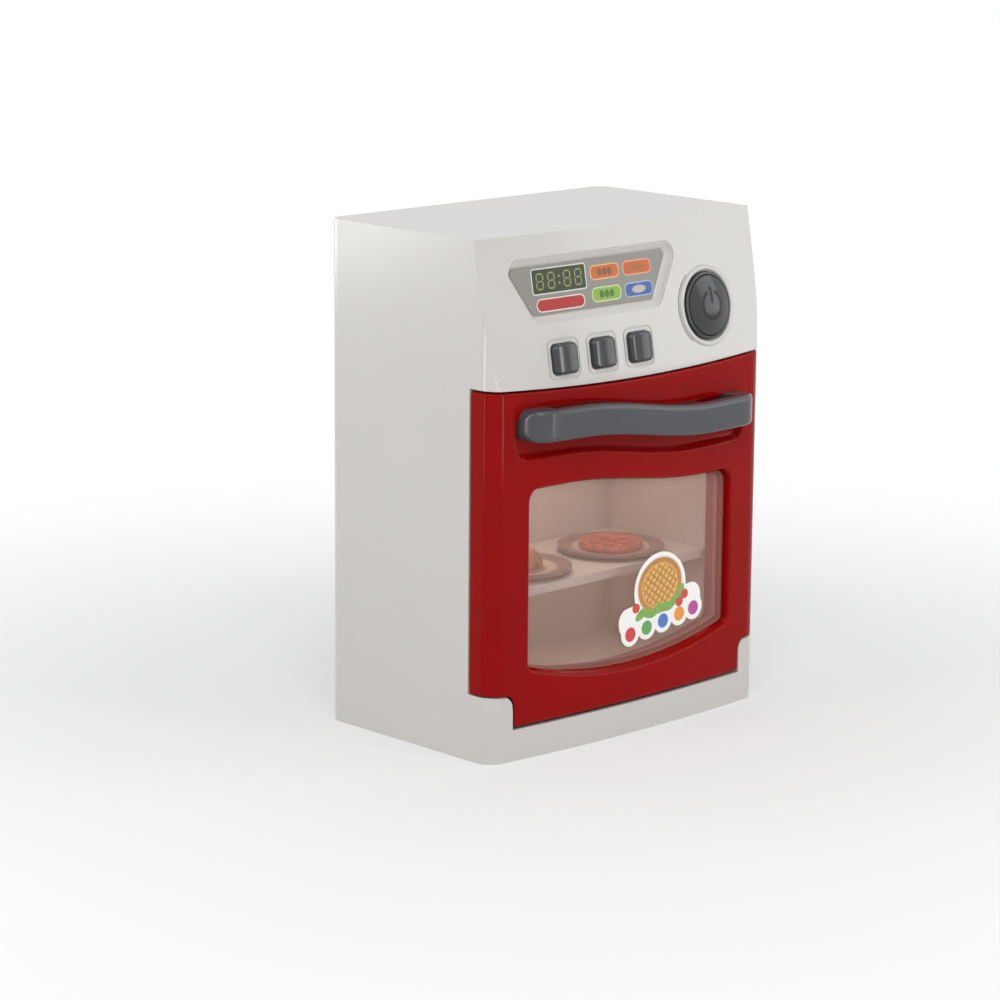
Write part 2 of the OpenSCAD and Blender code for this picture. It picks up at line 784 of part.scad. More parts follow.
// Battery along x, with its button at its right end
nub_l = 1;
contact_t = 0.4;
module cell() {
    r = cell_d / 2;
    rotate([0, 90, 0]) {
        cylinder(r = r, h = cell_l - nub_l);
        translate([0, 0, cell_l - nub_l - eps]) cylinder(r = 2.8, h = nub_l + eps);
    }
}
cell_start = pocket_w / 2 - contact_t - cell_l - 0.05;
module batteries() color("goldenrod") place() for (i = [0:cell_count - 1])
    mirror([i % 2, 0, 0]) translate([cell_start, cell_y, cell_z(i)]) cell();

contact_size = 10;
contact_seat = 0.02;
wire_x = pocket_w / 2 - contact_t - 2 * contact_seat - wire_d / 2;

// Plate of a contact; that of the upper cell has a tag that its wire is soldered to
tag_w = 3;
module contact_plate(i) {
    translate([0, -contact_size / 2, -contact_size / 2]) cube([contact_t, contact_size, contact_size]);
    if (i == cell_count - 1) translate([0, -tag_w / 2, contact_size / 2 - eps])
        cube([contact_t, tag_w, pocket_z + pocket_h - side_gap - cell_z(i) - contact_size / 2 + eps]);
}
module battery_springs() color("silver") place() for (i = [0:cell_count - 1]) mirror([i % 2, 0, 0]) {
    translate([-pocket_w / 2 + contact_seat, cell_y, cell_z(i)]) {
        contact_plate(i);
        rotate([0, 90, 0]) translate([0, 0, contact_t + 0.01])
            coil(4.4, 2.4, 0.35, cell_start + pocket_w / 2 - contact_t - 0.04, 3);
    }
}
module battery_contacts() color("silver") place() for (i = [0:cell_count - 1]) mirror([i % 2, 0, 0])
    translate([pocket_w / 2 - contact_t - contact_seat, cell_y, cell_z(i)]) contact_plate(i);

// ---------- loudspeaker ----------

speaker_back = body_d - wall;
speaker_rim_t = 1.2;
speaker_screw_in = 1.2;
speaker_screws_at = [for (a = [90, 210, 330]) [speaker_x + (speaker_d / 2 + 2.6) * cos(a),
    speaker_z + (speaker_d / 2 + 2.6) * sin(a)]];
module speaker_posts() {
    for (p = speaker_screws_at) translate([p[0], speaker_back + eps, p[1]]) rotate([90, 0, 0])
        cylinder(r = 2.2, h = speaker_rim_t + eps);
}
hole_pitch = 4.2;
module speaker_grille() {
    for (q = [-2:2], s = [-2:2]) if (abs(q + s) <= 2)
        translate([speaker_x + hole_pitch * (q + s / 2), speaker_back - eps,
            speaker_z + hole_pitch * s * sin(60)])
            rotate([-90, 0, 0]) cylinder(r = 1.1, h = wall + 2 * eps);
}
module speaker() color("dimgray") place() translate([speaker_x, speaker_back - 0.02, speaker_z])
    rotate([90, 0, 0]) {
    difference() {
        union() {
            cylinder(r = speaker_d / 2, h = speaker_rim_t);
            translate([0, 0, speaker_rim_t - 0.01]) cylinder(r1 = speaker_d / 2 - 3, r2 = 9, h = 4);
            translate([0, 0, 5]) cylinder(r = 9, h = speaker_t - 5);
        }
        translate([0, 0, -eps]) cylinder(r1 = speaker_d / 2 - 2, r2 = 5, h = 4.2);
    }
}
module speaker_ring() color("dimgray") place()
    translate([speaker_x, speaker_back - speaker_rim_t - 0.04, speaker_z]) rotate([90, 0, 0]) difference() {
        union() {
            cylinder(r = speaker_d / 2 + 0.6, h = ring_t);
            for (a = [90, 210, 330]) rotate(a) hull() {
                translate([speaker_d / 2 + 2.6, 0, 0]) cylinder(r = 2.8, h = ring_t, $fn = 32);
                translate([speaker_d / 2 - 4, 0, 0]) cylinder(r = 2.8, h = ring_t, $fn = 32);
            }
        }
        translate([0, 0, -eps]) cylinder(r = speaker_d / 2 - 2.6, h = ring_t + 2 * eps);
        for (a = [90, 210, 330]) rotate(a) translate([speaker_d / 2 + 2.6, 0, -eps])
            cylinder(r = screw_small_r + lip_gap, h = ring_t + 2 * eps);
    }
screw_small_r = 0.9;
module small_screw(length) {
    difference() {
        union() {
            translate([0, 0, -1.2]) cylinder(r = 1.9, h = 1.2);
            translate([0, 0, -length]) cylinder(r = screw_small_r, h = length - 0.6);
        }
        for (a = [0, 90]) rotate(a) translate([-1.1, -0.3, -0.6]) cube([2.2, 0.6, 1]);
    }
}
module speaker_screws() color("silver") place() for (p = speaker_screws_at)
    translate([p[0], speaker_back - speaker_rim_t - ring_t - 1.26, p[1]]) rotate([90, 0, 0])
        small_screw(1.2 + ring_t + speaker_rim_t + speaker_screw_in);

// ---------- oven liner and what stands in it ----------

lamp_r = 6.4;
lamp_y = (frame_back + cavity_back) / 2 - 3;
lamp_flange_r = 8.4;
lamp_flange_t = 1.4;
led_r = 2.5;
led_l = 7;
module oven_liner() color(white) place() difference() {
    union() {
        cavity_block(liner_t, frame_back + 0.02, cavity_back + liner_t);
        for (p = liner_screws_at) translate([p[0], frame_back + liner_post_l + 0.02, p[1]])
            rotate([-90, 0, 0]) {
            cylinder(r = screw_head_r + 0.8, h = liner_ear_t);
            translate([p[0] > 0 ? -liner_screw_x + cavity_w / 2 : 0, -screw_head_r - 0.8, 0])
                cube([liner_screw_x - cavity_w / 2, 2 * screw_head_r + 1.6, liner_ear_t]);
        }
    }
    difference() {
        cavity_block(0, frame_back - eps, cavity_back);
        // rails for the shelf
        for (x = [-1, 1]) translate([x > 0 ? cavity_w / 2 - rail_w : -cavity_w / 2 - 1, 0,
            shelf_top - shelf_t - rail_t])
            cube([rail_w + 1, body_d, rail_t]);
    }
    for (p = liner_screws_at) translate([p[0], frame_back, p[1]]) rotate([-90, 0, 0])
        cylinder(r = screw_r + lip_gap, h = liner_post_l + liner_ear_t + 2);
    translate([0, lamp_y, cavity_top - eps]) cylinder(r = lamp_r + lip_gap, h = liner_t + 2 * eps);
}
module liner_screws() color("silver") place() for (p = liner_screws_at)
    translate([p[0], frame_back + liner_post_l + liner_ear_t + screw_head_h + 0.04, p[1]])
        rotate([-90, 0, 0])
        screw(liner_screw_l);

shelf_lip = 3;
module shelf() color(white) place() {
    translate([-cavity_w / 2 + side_gap, frame_back + 0.6, shelf_top - shelf_t + 0.02])
        cube([cavity_w - 2 * side_gap, cavity_back - frame_back - 0.6 - side_gap, shelf_t]);
    translate([-cavity_w / 2 + side_gap, shelf_front, shelf_top - shelf_lip + 0.02])
        cube([cavity_w - 2 * side_gap, frame_back - shelf_front - 0.05, shelf_lip]);
    translate([-cavity_w / 2 + rail_w + side_gap, shelf_front, shelf_top - shelf_t + 0.02])
        cube([cavity_w - 2 * rail_w - 2 * side_gap, 5, shelf_t]);
}

plate_front_gap = 0.8;
plate_y = shelf_front + plate_front_gap + plate_d / 2;
plates_at = [[-cavity_w * 0.23, plate_y], [cavity_w * 0.22, plate_y]];
plate_h = 2.6;
plate_t = 1.1;
// Radius of a plate's flat middle
plate_flat = 0.58 * plate_d / 2;
module plate(p) {
    r = plate_d / 2;
    translate([p[0], p[1], shelf_top + 0.04]) rotate_extrude() polygon([
        [0, 0], [r * 0.6, 0], [r - 1, plate_h - plate_t], [r, plate_h - plate_t], [r, plate_h],
        [r - 1.4, plate_h], [plate_flat, plate_t], [0, plate_t]]);
}
module plate_left() color("white") place() plate(plates_at[0]);
module plate_right() color("white") place() plate(plates_at[1]);

// Play food: a browned loaf on the left and a round pie with toppings on the right
food_z = shelf_top + plate_t + 0.06;
module food_left() color("saddlebrown") place() translate([plates_at[0][0], plates_at[0][1], food_z]) {
    intersection() {
        hull() for (x = [-1, 1]) translate([x * 0.33 * plate_flat, 0, 0]) scale([1, 0.8, 0.95])
            sphere(0.65 * plate_flat, $fn = 32);
        translate([-20, -20, 0]) cube([40, 40, 20]);
    }
}
module food_right() color("firebrick") place() translate([plates_at[1][0], plates_at[1][1], food_z]) {
    r = plate_flat;
    rotate_extrude() polygon([
        [0, 0], [0.95 * r, 0], [1.04 * r, 1.6], [0.99 * r, 2.8], [0.88 * r, 2.6], [0.8 * r, 1.9],
        [0, 2.2]]);
    for (a = [0:72:288]) rotate(a) translate([0.5 * r, 0, 1.6]) cylinder(r = 0.19 * r, h = 1.2, $fn = 24);
    translate([0, 0, 1.6]) cylinder(r = 0.17 * r, h = 1.4, $fn = 24);
}

// ---------- door ----------

rim_back = 6;
rim_w = 5.5;
window_depth = 4;
pane_t = 1.4;
pane_flange = 2.2;
pane_y = window_depth + 0.2;
inner_y = door_d - 1.7;
inner_t = 1.6;
cup_h = 1.9;
handle_foot = 10.5;
handle_corner = 9;
handle_screws_at = [for (s = [-1, 1]) let (x = handle_mid + s * (handle_w - handle_foot) / 2)
    [x, handle_z(x)]];
handle_pad_y = front_y(handle_w / 2) + scoop_depth + skin + 0.4;
handle_screw_l = 11;
door_screw_x = half_w - skin - 4.9;
door_screw_up = 25;
door_screw_down = 33;
door_screws_at = [for (x = [-1, 1], z = [door_low + door_screw_up, door_top - door_screw_down])
    [x * door_screw_x, z]];
door_screw_l = 7.6;
scoop_flare = 1.8;
function scoop_outline(g) = band_outline(handle_w / 2 + 1 - scoop_flare + g, scoop_h / 2 - scoop_flare + g,
    3.5 + g, scoop_down);

// Profile of the door, drawn about its hinge axis: y to the back and z up
module door_profile(inset) {
    r = hinge_r - inset;
    circle(r);
    translate([-door_d, -r]) square([door_d, r + body_h]);
    translate([-eps, 0]) square([door_d - hinge_y + eps + (inset > 0 ? eps : 0), body_h]);
}

module door_outside() {
    difference() {
        intersection() {
            translate([0, 0, door_low - eps]) linear_extrude(body_h) plan();
            through(-corner_r, body_d) below_panel(panel_z - door_gap);
            along_hinge(-body_w, body_w) door_profile(0);
            // bevel along the lower front edge
            translate([0, bulge_r, door_low]) {
                cylinder(r1 = bulge_r - door_edge, r2 = bulge_r + door_edge, h = 2 * door_edge,
                    $fn = bulge_fn);
                translate([0, 0, 1.5 * door_edge]) cylinder(r = 2 * bulge_r, h = body_h);
            }
        }
        blocks(door_gap);
    }
}

module door_inside() {
    lug_x = block_x - door_gap - lug_t;
    difference() {
        intersection() {
            translate([0, 0, door_low]) linear_extrude(body_h) plan(skin);
            through(-corner_r, body_d) below_panel(panel_z - door_gap - skin);
            along_hinge(-body_w, body_w) door_profile(skin);
        }
        blocks(door_gap + skin);
        for (m = [0, 1]) mirror([m, 0, 0]) translate([lug_x, -corner_r, 0])
            cube([half_w, body_d, block_z + door_gap]);
        through(-corner_r, rim_back) polygon(window_outline(rim_w));
        // backing of the scoop
        difference() {
            through(-corner_r, body_d) polygon(scoop_outline(skin));
            front_roll(bulge_r - scoop_depth - skin);
        }
        for (p = handle_screws_at) through(-corner_r, handle_pad_y) translate(p) circle(4.4);
        for (p = door_screws_at) through(-corner_r, inner_y - cup_h) translate(p) circle(screw_head_r);
    }
}

// Cylinder whose axis stands behind the bulged front
module front_roll(r) { translate([0, bulge_r, 0]) cylinder(r = r, h = body_h, $fn = bulge_fn); }

// Cut of the window, whose edge steps down to the pane
module window_cut() {
    through(-corner_r, door_d + eps) polygon(window_outline(-window_slope));
    for (k = [0:edge_steps - 1]) difference() {
        through(-corner_r, window_depth) polygon(window_outline(-window_slope * k / edge_steps));
        front_roll(bulge_r - window_depth * (k + 0.5) / edge_steps);
    }
}

// Hollow behind the handle, whose edge steps down to a floor that follows the bulge
module scoop_cut() {
    for (k = [0:edge_steps]) difference() {
        through(-corner_r, door_d) polygon(scoop_outline(scoop_flare * (1 - k / edge_steps)));
        front_roll(bulge_r - scoop_depth * min(k + 0.5, edge_steps) / edge_steps);
    }
}

module door_shell() color(red) place() difference() {
    door_outside();
    door_inside();
    window_cut();
    scoop_cut();
    for (p = handle_screws_at) through(-corner_r, handle_pad_y + eps)
        translate(p) circle(screw_r + lip_gap);
    for (p = door_screws_at) through(inner_y - door_screw_l + 0.8, inner_y) translate(p)
        circle(screw_r + pilot_gap);
    for (m = [0, 1]) mirror([m, 0, 0]) translate([block_x - door_gap - lug_t - eps, hinge_y, hinge_z])
        rotate([0, 90, 0]) cylinder(r = pin_r + pin_gap, h = lug_t + 2 * eps);
}

module door_frame() color(red) place() difference() {
    edge = skin + guide_gap;
    union() {
        through(inner_y, inner_y + inner_t) difference() {
            intersection() {
                below_panel(panel_z - door_gap - edge);
                translate([-half_w + edge, hinge_z + seat_gap]) square([body_w - 2 * edge, body_h]);
            }
            block_outline(door_gap + edge);
            for (m = [0, 1]) mirror([m, 0]) translate([block_x - door_gap - lug_t - guide_gap, 0])
                square([half_w, block_z + door_gap + guide_gap]);
            polygon(window_outline(-window_slope));
        }
        // skirt that holds the pane
        through(rim_back + pane_t + 0.06, inner_y + eps) difference() {
            polygon(window_outline(-window_slope + 2));
            polygon(window_outline(-window_slope));
        }
        for (p = door_screws_at) through(inner_y - cup_h + 0.04, inner_y + inner_t) translate(p)
            circle(screw_head_r + 1.4);
    }
    for (p = door_screws_at) {
        through(inner_y - cup_h - eps, door_d) translate(p) circle(screw_r + lip_gap);
        through(inner_y + inner_t - screw_head_h - 0.1, door_d)
            translate(p) circle(screw_head_r + side_gap);
    }
}

module window_pane() color([0.7, 0.45, 0.4, 0.5]) place() difference() {
    union() {
        through(rim_back + 0.02, rim_back + pane_t) polygon(window_outline(pane_flange - window_slope));
        through(pane_y, rim_back + pane_t) polygon(window_outline(-window_slope - guide_gap));
    }
    through(pane_y + pane_t, rim_back + pane_t + eps)
        polygon(window_outline(-window_slope - guide_gap - pane_t));
}

// Die-cut sticker on the pane: a band of leaves below a round pie
sticker_t = 0.15;
sticker_x = 17;
sticker_z = window_z + 4;
module sticker_shape() translate([sticker_x, sticker_z]) rotate(8) {
    w = sticker_w;
    translate([0.025 * w, 0.325 * w]) circle(0.3125 * w);
    translate([0, 0.1375 * w]) round_rect(w, 0.25 * w, 0.1125 * w);
    for (x = [-0.375, -0.175, 0.025, 0.225, 0.4]) translate([x * w, 0.0375 * w]) circle(0.11 * w);
}
module window_sticker() color("white") place() through(pane_y - sticker_t, pane_y - 0.01) sticker_shape();

module handle_plan() {
    outer = bulge_r + handle_proud;
    r = handle_corner;
    x0 = handle_mid - handle_w / 2;
    x1 = handle_mid + handle_w / 2;
    difference() {
        intersection() {
            translate([0, bulge_r]) circle(outer, $fn = bulge_fn);
            translate([x0, -2 * handle_proud]) square([handle_w, 3 * handle_proud]);
        }
        translate([0, bulge_r]) circle(bulge_r - scoop_depth - 0.02, $fn = bulge_fn);
        // finger gap
        intersection() {
            translate([0, bulge_r]) circle(outer - handle_t, $fn = bulge_fn);
            translate([x0 + handle_foot, -2 * handle_proud])
                square([handle_w - 2 * handle_foot, 4 * handle_proud]);
        }
        for (e = [[x0, 1], [x1, -1]]) {
            cx = e[0] + e[1] * r;
            cy = bulge_r - sqrt(pow(outer - r, 2) - cx * cx);
            difference() {
                translate([min(e[0] - e[1] * eps, cx), cy - 2 * r]) square([r + eps, 2 * r]);
                translate([cx, cy]) circle(r);
            }
        }
    }
}
module handle() color(grey) place() difference() {
    intersection() {
        through(-3 * handle_proud, door_d) polygon(band_outline(handle_w / 2, handle_h / 2, 3.5, 0));
        linear_extrude(body_h) handle_plan();
    }
    // the feet stand on the floor of the scoop
    difference() {
        front_roll(bulge_r + seat_gap);
        through(-corner_r, door_d) polygon(scoop_outline(-guide_gap));
    }
    for (p = handle_screws_at) through(handle_pad_y - handle_screw_l + 1.6, door_d) translate(p)
        circle(screw_r + pilot_gap);
}
module handle_screws() color("silver") place() for (p = handle_screws_at)
    translate([p[0], handle_pad_y + screw_head_h + 0.02, p[1]]) rotate([-90, 0, 0]) screw(handle_screw_l);
module door_screws() color("silver") place() for (p = door_screws_at)
    translate([p[0], inner_y + inner_t - 0.08, p[1]]) rotate([-90, 0, 0]) screw(door_screw_l);
module hinge_pins() color("silver") place() for (m = [0, 1]) mirror([m, 0, 0])
    translate([block_x - door_gap - lug_t + pin_end_gap, hinge_y, hinge_z]) rotate([0, 90, 0])
        cylinder(r = pin_r, h = pin_l - pin_end_gap);

// ---------- panel ----------

module display_label() color("dimgray") place() on_panel() intersection() {
    difference() {
        panel_roll(bulge_r - display_depth + 0.3);
        panel_roll(bulge_r - display_depth + 0.02);
    }
    translate([0, 0, -2 * land_n]) linear_extrude(2 * land_n) polygon(display_outline(-guide_gap));
}

flange_n = land_n + seat_gap;
post_low = board_n - switch_h - button_travel - 0.05;
module flange_post() {
    translate([0, 0, -post_low]) cylinder(r = post_r, h = post_low - flange_n);
}
module button(x) color(grey) place() on_panel() translate([x, button_up, 0]) {
    top = button_proud - rise(bulge_r, x);
    crown_r = 24;
    intersection() {
        translate([0, 0, -flange_n - flange_t / 2]) linear_extrude(2 * land_n)
            round_rect(button_w, button_h, 1.8);
        translate([0, 0, top - crown_r]) sphere(crown_r, $fn = 128);
    }
    translate([0, 0, -flange_n - flange_t]) linear_extrude(flange_t)
        round_rect(button_w + 2 * flange_w, button_h + 2 * flange_w, 2);
    flange_post();
}
module button_left() button(button_xs[0]);
module button_middle() button(button_xs[1]);
module button_right() button(button_xs[2]);

power_edge = 1.2;
power_dome = 2.2;
mark_r = 4.6;
mark_w = 0.9;
module power_button() color(grey) place() on_panel() translate([power_right, power_up, 0]) difference() {
    top = power_edge + power_dome - rise(bulge_r, power_right);
    dome_r = (pow(power_d / 2, 2) + pow(power_dome, 2)) / (2 * power_dome);
    union() {
        intersection() {
            translate([0, 0, -flange_n - flange_t / 2]) cylinder(r = power_d / 2, h = 2 * land_n);
            translate([0, 0, top - dome_r]) sphere(dome_r, $fn = 128);
        }
        translate([0, 0, -flange_n - flange_t]) cylinder(r = power_d / 2 + flange_w, h = flange_t);
        flange_post();
    }
    // plain mark of a ring and a stroke
    translate([0, 0, top - 0.8]) linear_extrude(2) {
        difference() {
            circle(mark_r + mark_w / 2);
            circle(mark_r - mark_w / 2);
            translate([-1.8, 0]) square([3.6, 2 * mark_r]);
        }
        translate([-mark_w / 2, 1]) square([mark_w, mark_r + 0.6]);
    }
}

spring_h = board_n - flange_n - flange_t;
module button_spring(x, y, r) color("silver") place() on_panel() translate([x, y, -board_n])
    coil(r, r, spring_wire / 2, spring_h, 4);
module spring_left() button_spring(button_xs[0], button_up, 4.9);
module spring_middle() button_spring(button_xs[1], button_up, 4.9);
module spring_right() button_spring(button_xs[2], button_up, 4.9);
module spring_power() button_spring(power_right, power_up, 7.5);

module control_board() color("darkgreen") place() on_panel() difference() {
    translate([board_mid - board_w / 2, board_low, -board_n - board_t]) cube([board_w, board_h, board_t]);
    for (p = board_screws_at) translate([p[0], p[1], -board_n - board_t - eps])
        cylinder(r = screw_r + lip_gap, h = board_t + 2 * eps);
}
module push_switches() color("black") place() on_panel() {
    at = concat([for (x = button_xs) [x, button_up]], [[power_right, power_up]]);
    for (p = at) translate([p[0], p[1], -board_n + 0.02]) {
        translate([-switch_w / 2, -switch_w / 2, 0]) cube([switch_w, switch_w, switch_h - 1]);
        cylinder(r = 1.7, h = switch_h - 0.02);
    }
}
module board_screws() color("silver") place() on_panel() for (p = board_screws_at)
    translate([p[0], p[1], -board_n - board_t - screw_head_h - 0.02]) rotate([180, 0, 0])
        screw(board_screw_l);

// ---------- lamp ----------

module lamp_lens() color([0.95, 0.9, 0.6, 0.6]) place() translate([0, lamp_y, 0]) difference() {
    union() {
        translate([0, 0, cavity_top + liner_t + 0.02]) cylinder(r = lamp_flange_r, h = lamp_flange_t);
        translate([0, 0, cavity_top]) cylinder(r = lamp_r, h = liner_t + lamp_flange_t);
        intersection() {
            translate([0, 0, cavity_top + 8]) sphere(10.2);
            translate([0, 0, cavity_top - 4]) cylinder(r = lamp_r, h = 5);
        }
    }
    translate([0, 0, cavity_top + 0.8]) cylinder(r = led_r + 0.05, h = 20);
}
module lamp() color("lightyellow") place() translate([0, lamp_y, cavity_top + 0.8]) {
    translate([0, 0, led_r]) sphere(led_r);
    translate([0, 0, led_r]) cylinder(r = led_r, h = led_l - led_r);
    translate([0, 0, liner_t + lamp_flange_t - 0.8 + 0.04]) cylinder(r = led_r + 0.5, h = 1);
}

// ---------- wires ----------

board_back = board_n + board_t;
// Point on the back of the board, given along the panel, and a distance behind it
function board_point(x, y, behind) = [x, y * sin(lean) + (board_back + behind) * cos(lean),
    panel_z + y * cos(lean) - (board_back + behind) * sin(lean)];
module wire(points) { tube(smooth(points), wire_d / 2, 8); }
// How far a wire's end reaches into the piece that it is soldered to
solder = 0.4;

// From the tags in the pocket up behind the liner, between it and the loudspeaker, and on to the board
module battery_wires() color("red") place() for (s = [-1, 1]) {
    x = s * wire_x;
    pocket_top = pocket_z + pocket_h;
    up_y = (cavity_back + liner_t + speaker_back - speaker_t) / 2;
    end = board_point(x - s * 4, board_low + 8, 6);
    over = [x, cavity_back - 4, cavity_top + liner_t + 8];
    wire([[x, cell_y, pocket_top - 0.9], [x, cell_y, pocket_top + pocket_wall + 0.8],
        [x, cell_y, pocket_top + pocket_wall + 3], [x, up_y, pocket_top + pocket_wall + 10],
        [x, up_y, cavity_top + 1], over,
        between(over, end, 0.5) - [0, 0, 2], end, board_point(x - s * 4, board_low + 8, -solder)]);
}
module speaker_wires() color("black") place() for (i = [0, 1]) {
    y = speaker_back - speaker_t;
    start = [speaker_x + 4 + 3 * i, y - 6, speaker_z + 4];
    end = board_point(speaker_x + 4 * i, board_middle, 8);
    wire([[start[0], y + solder / 2, start[2]], start, between(start, end, 0.4) + [0, 0, 5],
        between(start, end, 0.75) + [0, 0, 4], end, board_point(speaker_x + 4 * i, board_middle, -solder)]);
}
module lamp_wires() color("gray") place() for (i = [-1, 1]) {
    z = cavity_top + 0.8 + led_l;
    start = [1.2 * i, lamp_y, z + 4];
    end = board_point(5 * i - 2, board_middle - 3, 7);
    wire([[1.2 * i, lamp_y, z - solder / 2], start, between(start, end, 0.5) + [0, 2, -4], end,
        board_point(5 * i - 2, board_middle - 3, -solder)]);
}

front_casing();
rear_casing();
casing_screws();
oven_liner();
liner_screws();
shelf();
plate_left();
plate_right();
food_left();
food_right();
door_shell();
door_frame();
window_pane();
window_sticker();
handle();
handle_screws();
door_screws();
hinge_pins();
display_label();
button_left();
button_middle();
button_right();
power_button();
spring_left();
spring_middle();
spring_right();
spring_power();
control_board();
push_switches();
board_screws();
lamp_lens();
lamp();
speaker();
speaker_ring();
speaker_screws();
batteries();
battery_springs();
battery_contacts();
battery_cover();
cover_screw();
battery_wires();
speaker_wires();
lamp_wires();
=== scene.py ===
"""Toy oven: the finishes of every piece and the finely shaped outer pieces, dressed round the fixed frame.

Outer pieces are shaped in millimetres, from the foremost point of the bulged front (y = 0), and
settle() brings each one to its place in metres.
"""
import math

import bpy
from mathutils import Matrix, Vector


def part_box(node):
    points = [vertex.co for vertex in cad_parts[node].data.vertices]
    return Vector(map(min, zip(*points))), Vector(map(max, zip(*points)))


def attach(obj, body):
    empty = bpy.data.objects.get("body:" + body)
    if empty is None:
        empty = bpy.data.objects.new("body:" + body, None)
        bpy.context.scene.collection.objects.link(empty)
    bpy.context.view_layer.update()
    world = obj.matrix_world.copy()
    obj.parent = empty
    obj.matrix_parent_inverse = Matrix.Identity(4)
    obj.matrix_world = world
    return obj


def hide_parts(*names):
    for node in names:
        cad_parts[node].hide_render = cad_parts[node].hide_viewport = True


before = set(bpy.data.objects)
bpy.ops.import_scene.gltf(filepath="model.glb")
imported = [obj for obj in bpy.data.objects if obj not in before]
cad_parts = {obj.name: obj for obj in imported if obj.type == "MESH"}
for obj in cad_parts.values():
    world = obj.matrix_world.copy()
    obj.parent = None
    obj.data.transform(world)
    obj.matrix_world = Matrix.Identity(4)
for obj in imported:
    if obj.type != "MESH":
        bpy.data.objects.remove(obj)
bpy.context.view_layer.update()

# ---------- sizes, in millimetres ----------

MM = 0.001
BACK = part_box("rear_casing")[1].y / MM
BODY_D = 82.0
FRONT_TO_MIDDLE = BODY_D - BACK

HALF_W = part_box("front_casing")[1].x / MM
BULGE_R = 614.0
CORNER_R = 6.0

DOOR_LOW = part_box("door_shell")[0].z / MM
DOOR_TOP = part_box("door_shell")[1].z / MM
DOOR_D = 12.5
DOOR_GAP = 0.7
DOOR_SKIN = 2.0
PANEL_SAG = 2.0
PANEL_Z = DOOR_TOP + DOOR_GAP
LEAN = math.radians(10)
HINGE_R = 6.1
HINGE_INSET = 1.1
HINGE_Y = DOOR_D - HINGE_R - HINGE_INSET
HINGE_Z = DOOR_LOW + HINGE_R
DOOR_EDGE = 1.2
PIN_R = 1.5
LUG_T = 3.4
FRAME_PLATE_Y = 10.78
BLOCK_W = 10
BLOCK_X = HALF_W - BLOCK_W
BLOCK_Z = 22.5
BLOCK_R = 3.0

WINDOW_W = 96.6
WINDOW_H = 61.0
WINDOW_UP = 18.4
WINDOW_Z = DOOR_LOW + WINDOW_UP
WINDOW_BOW = 7.4
WINDOW_DROP = 6.0
WINDOW_SLOPE = 1.2
WINDOW_DEPTH = 4.0
WINDOW_LOW_R = 3.5
WINDOW_TOP_R = 5
RIM_BACK = 6.0

HANDLE_W = 106.5
HANDLE_H = 10.4
HANDLE_MID = 0.2
HANDLE_DOWN = 11.4
HANDLE_DROP = 6.4
HANDLE_PROUD = 9.2
HANDLE_T = 3.8
HANDLE_FOOT = 10.5
HANDLE_END_R = 9.0
BAND_R = 3.5
SCOOP_H = 17.0
SCOOP_DEPTH = 2.6
SCOOP_FLARE = 1.8

DISPLAY_TOP_W = 73.0
DISPLAY_LOW_W = 54.0
DISPLAY_H = 16.4
DISPLAY_X = -15.0
DISPLAY_UP = 22.4
DISPLAY_DEPTH = 2.4
DISPLAY_SLOPE = 2.6
BUTTONS = {"button_left": -33.0, "button_middle": -16.0, "button_right": 1.0}
BUTTON_W = 10.4
BUTTON_H = 10.0
BUTTON_UP = 7.8
BUTTON_PROUD = 2.6
POWER_D = 23.0
POWER_X = 36.3
POWER_UP = 17.8
KEY_DEPTH = 5.3


# ---------- outlines ----------

def rise(radius, x):
    """How far an arc of that radius falls away from its tangent at x."""
    return radius - math.sqrt(radius * radius - x * x)


def front_y(x):
    """Depth of the bulged front at x."""
    return rise(BULGE_R, x)


def sag(x):
    """How much lower than at its ends the door's upper edge is at x."""
    radius = (HALF_W ** 2 + PANEL_SAG ** 2) / (2 * PANEL_SAG)
    return PANEL_SAG - rise(radius, min(abs(x), HALF_W))


def ease(x, start, end):
    """A step that eases from 0 at start to 1 at end."""
    t = min(max((x - start) / (end - start), 0), 1)
    return (1 - math.cos(math.pi * t)) / 2


def arc(centre, radius, start, end, steps):
    """Points on an arc between two angles in degrees."""
    angles = [math.radians(start + (end - start) * i / steps) for i in range(steps + 1)]
    return [(centre[0] + radius * math.cos(a), centre[1] + radius * math.sin(a)) for a in angles]


def steps_between(start, end, count):
    return [start + (end - start) * i / count for i in range(count + 1)]


WINDOW_WAVE = (-31.0, 35.0)


def window_edge(x):
    """Height of the window's wavy upper edge."""
    return WINDOW_Z + WINDOW_H - WINDOW_DROP * ease(x, *WINDOW_WAVE)


def window_outline(grow):
    """The window: a wavy upper edge and a bowed lower one, grown all round."""
    bow_r = ((WINDOW_W / 2) ** 2 + WINDOW_BOW ** 2) / (2 * WINDOW_BOW)
    half = WINDOW_W / 2 + grow
    low_r = max(WINDOW_LOW_R + grow, 1)
    top_r = max(WINDOW_TOP_R + grow, 1)
    centre_z = WINDOW_Z - WINDOW_BOW + bow_r
    low_x = half - low_r
    low_z = centre_z - math.sqrt((bow_r + grow - low_r) ** 2 - low_x ** 2)
    turn = math.degrees(math.atan2(low_x, centre_z - low_z))
    bow = arc((0, centre_z), bow_r + grow, 270 - turn, 270 + turn, 40)
    return (arc((half - top_r, window_edge(half) + grow - top_r), top_r, 0, 90, 10)
            + [(x, window_edge(x) + grow) for x in steps_between(WINDOW_WAVE[1], WINDOW_WAVE[0], 40)]
            + arc((-half + top_r, window_edge(-half) + grow - top_r), top_r, 90, 180, 10)
            + arc((-low_x, low_z), low_r, 180, 270 - turn, 8)
            + bow[1:-1]
            + arc((low_x, low_z), low_r, 270 + turn, 360, 8))


BAND_WAVE = (-33.0, 29.0)


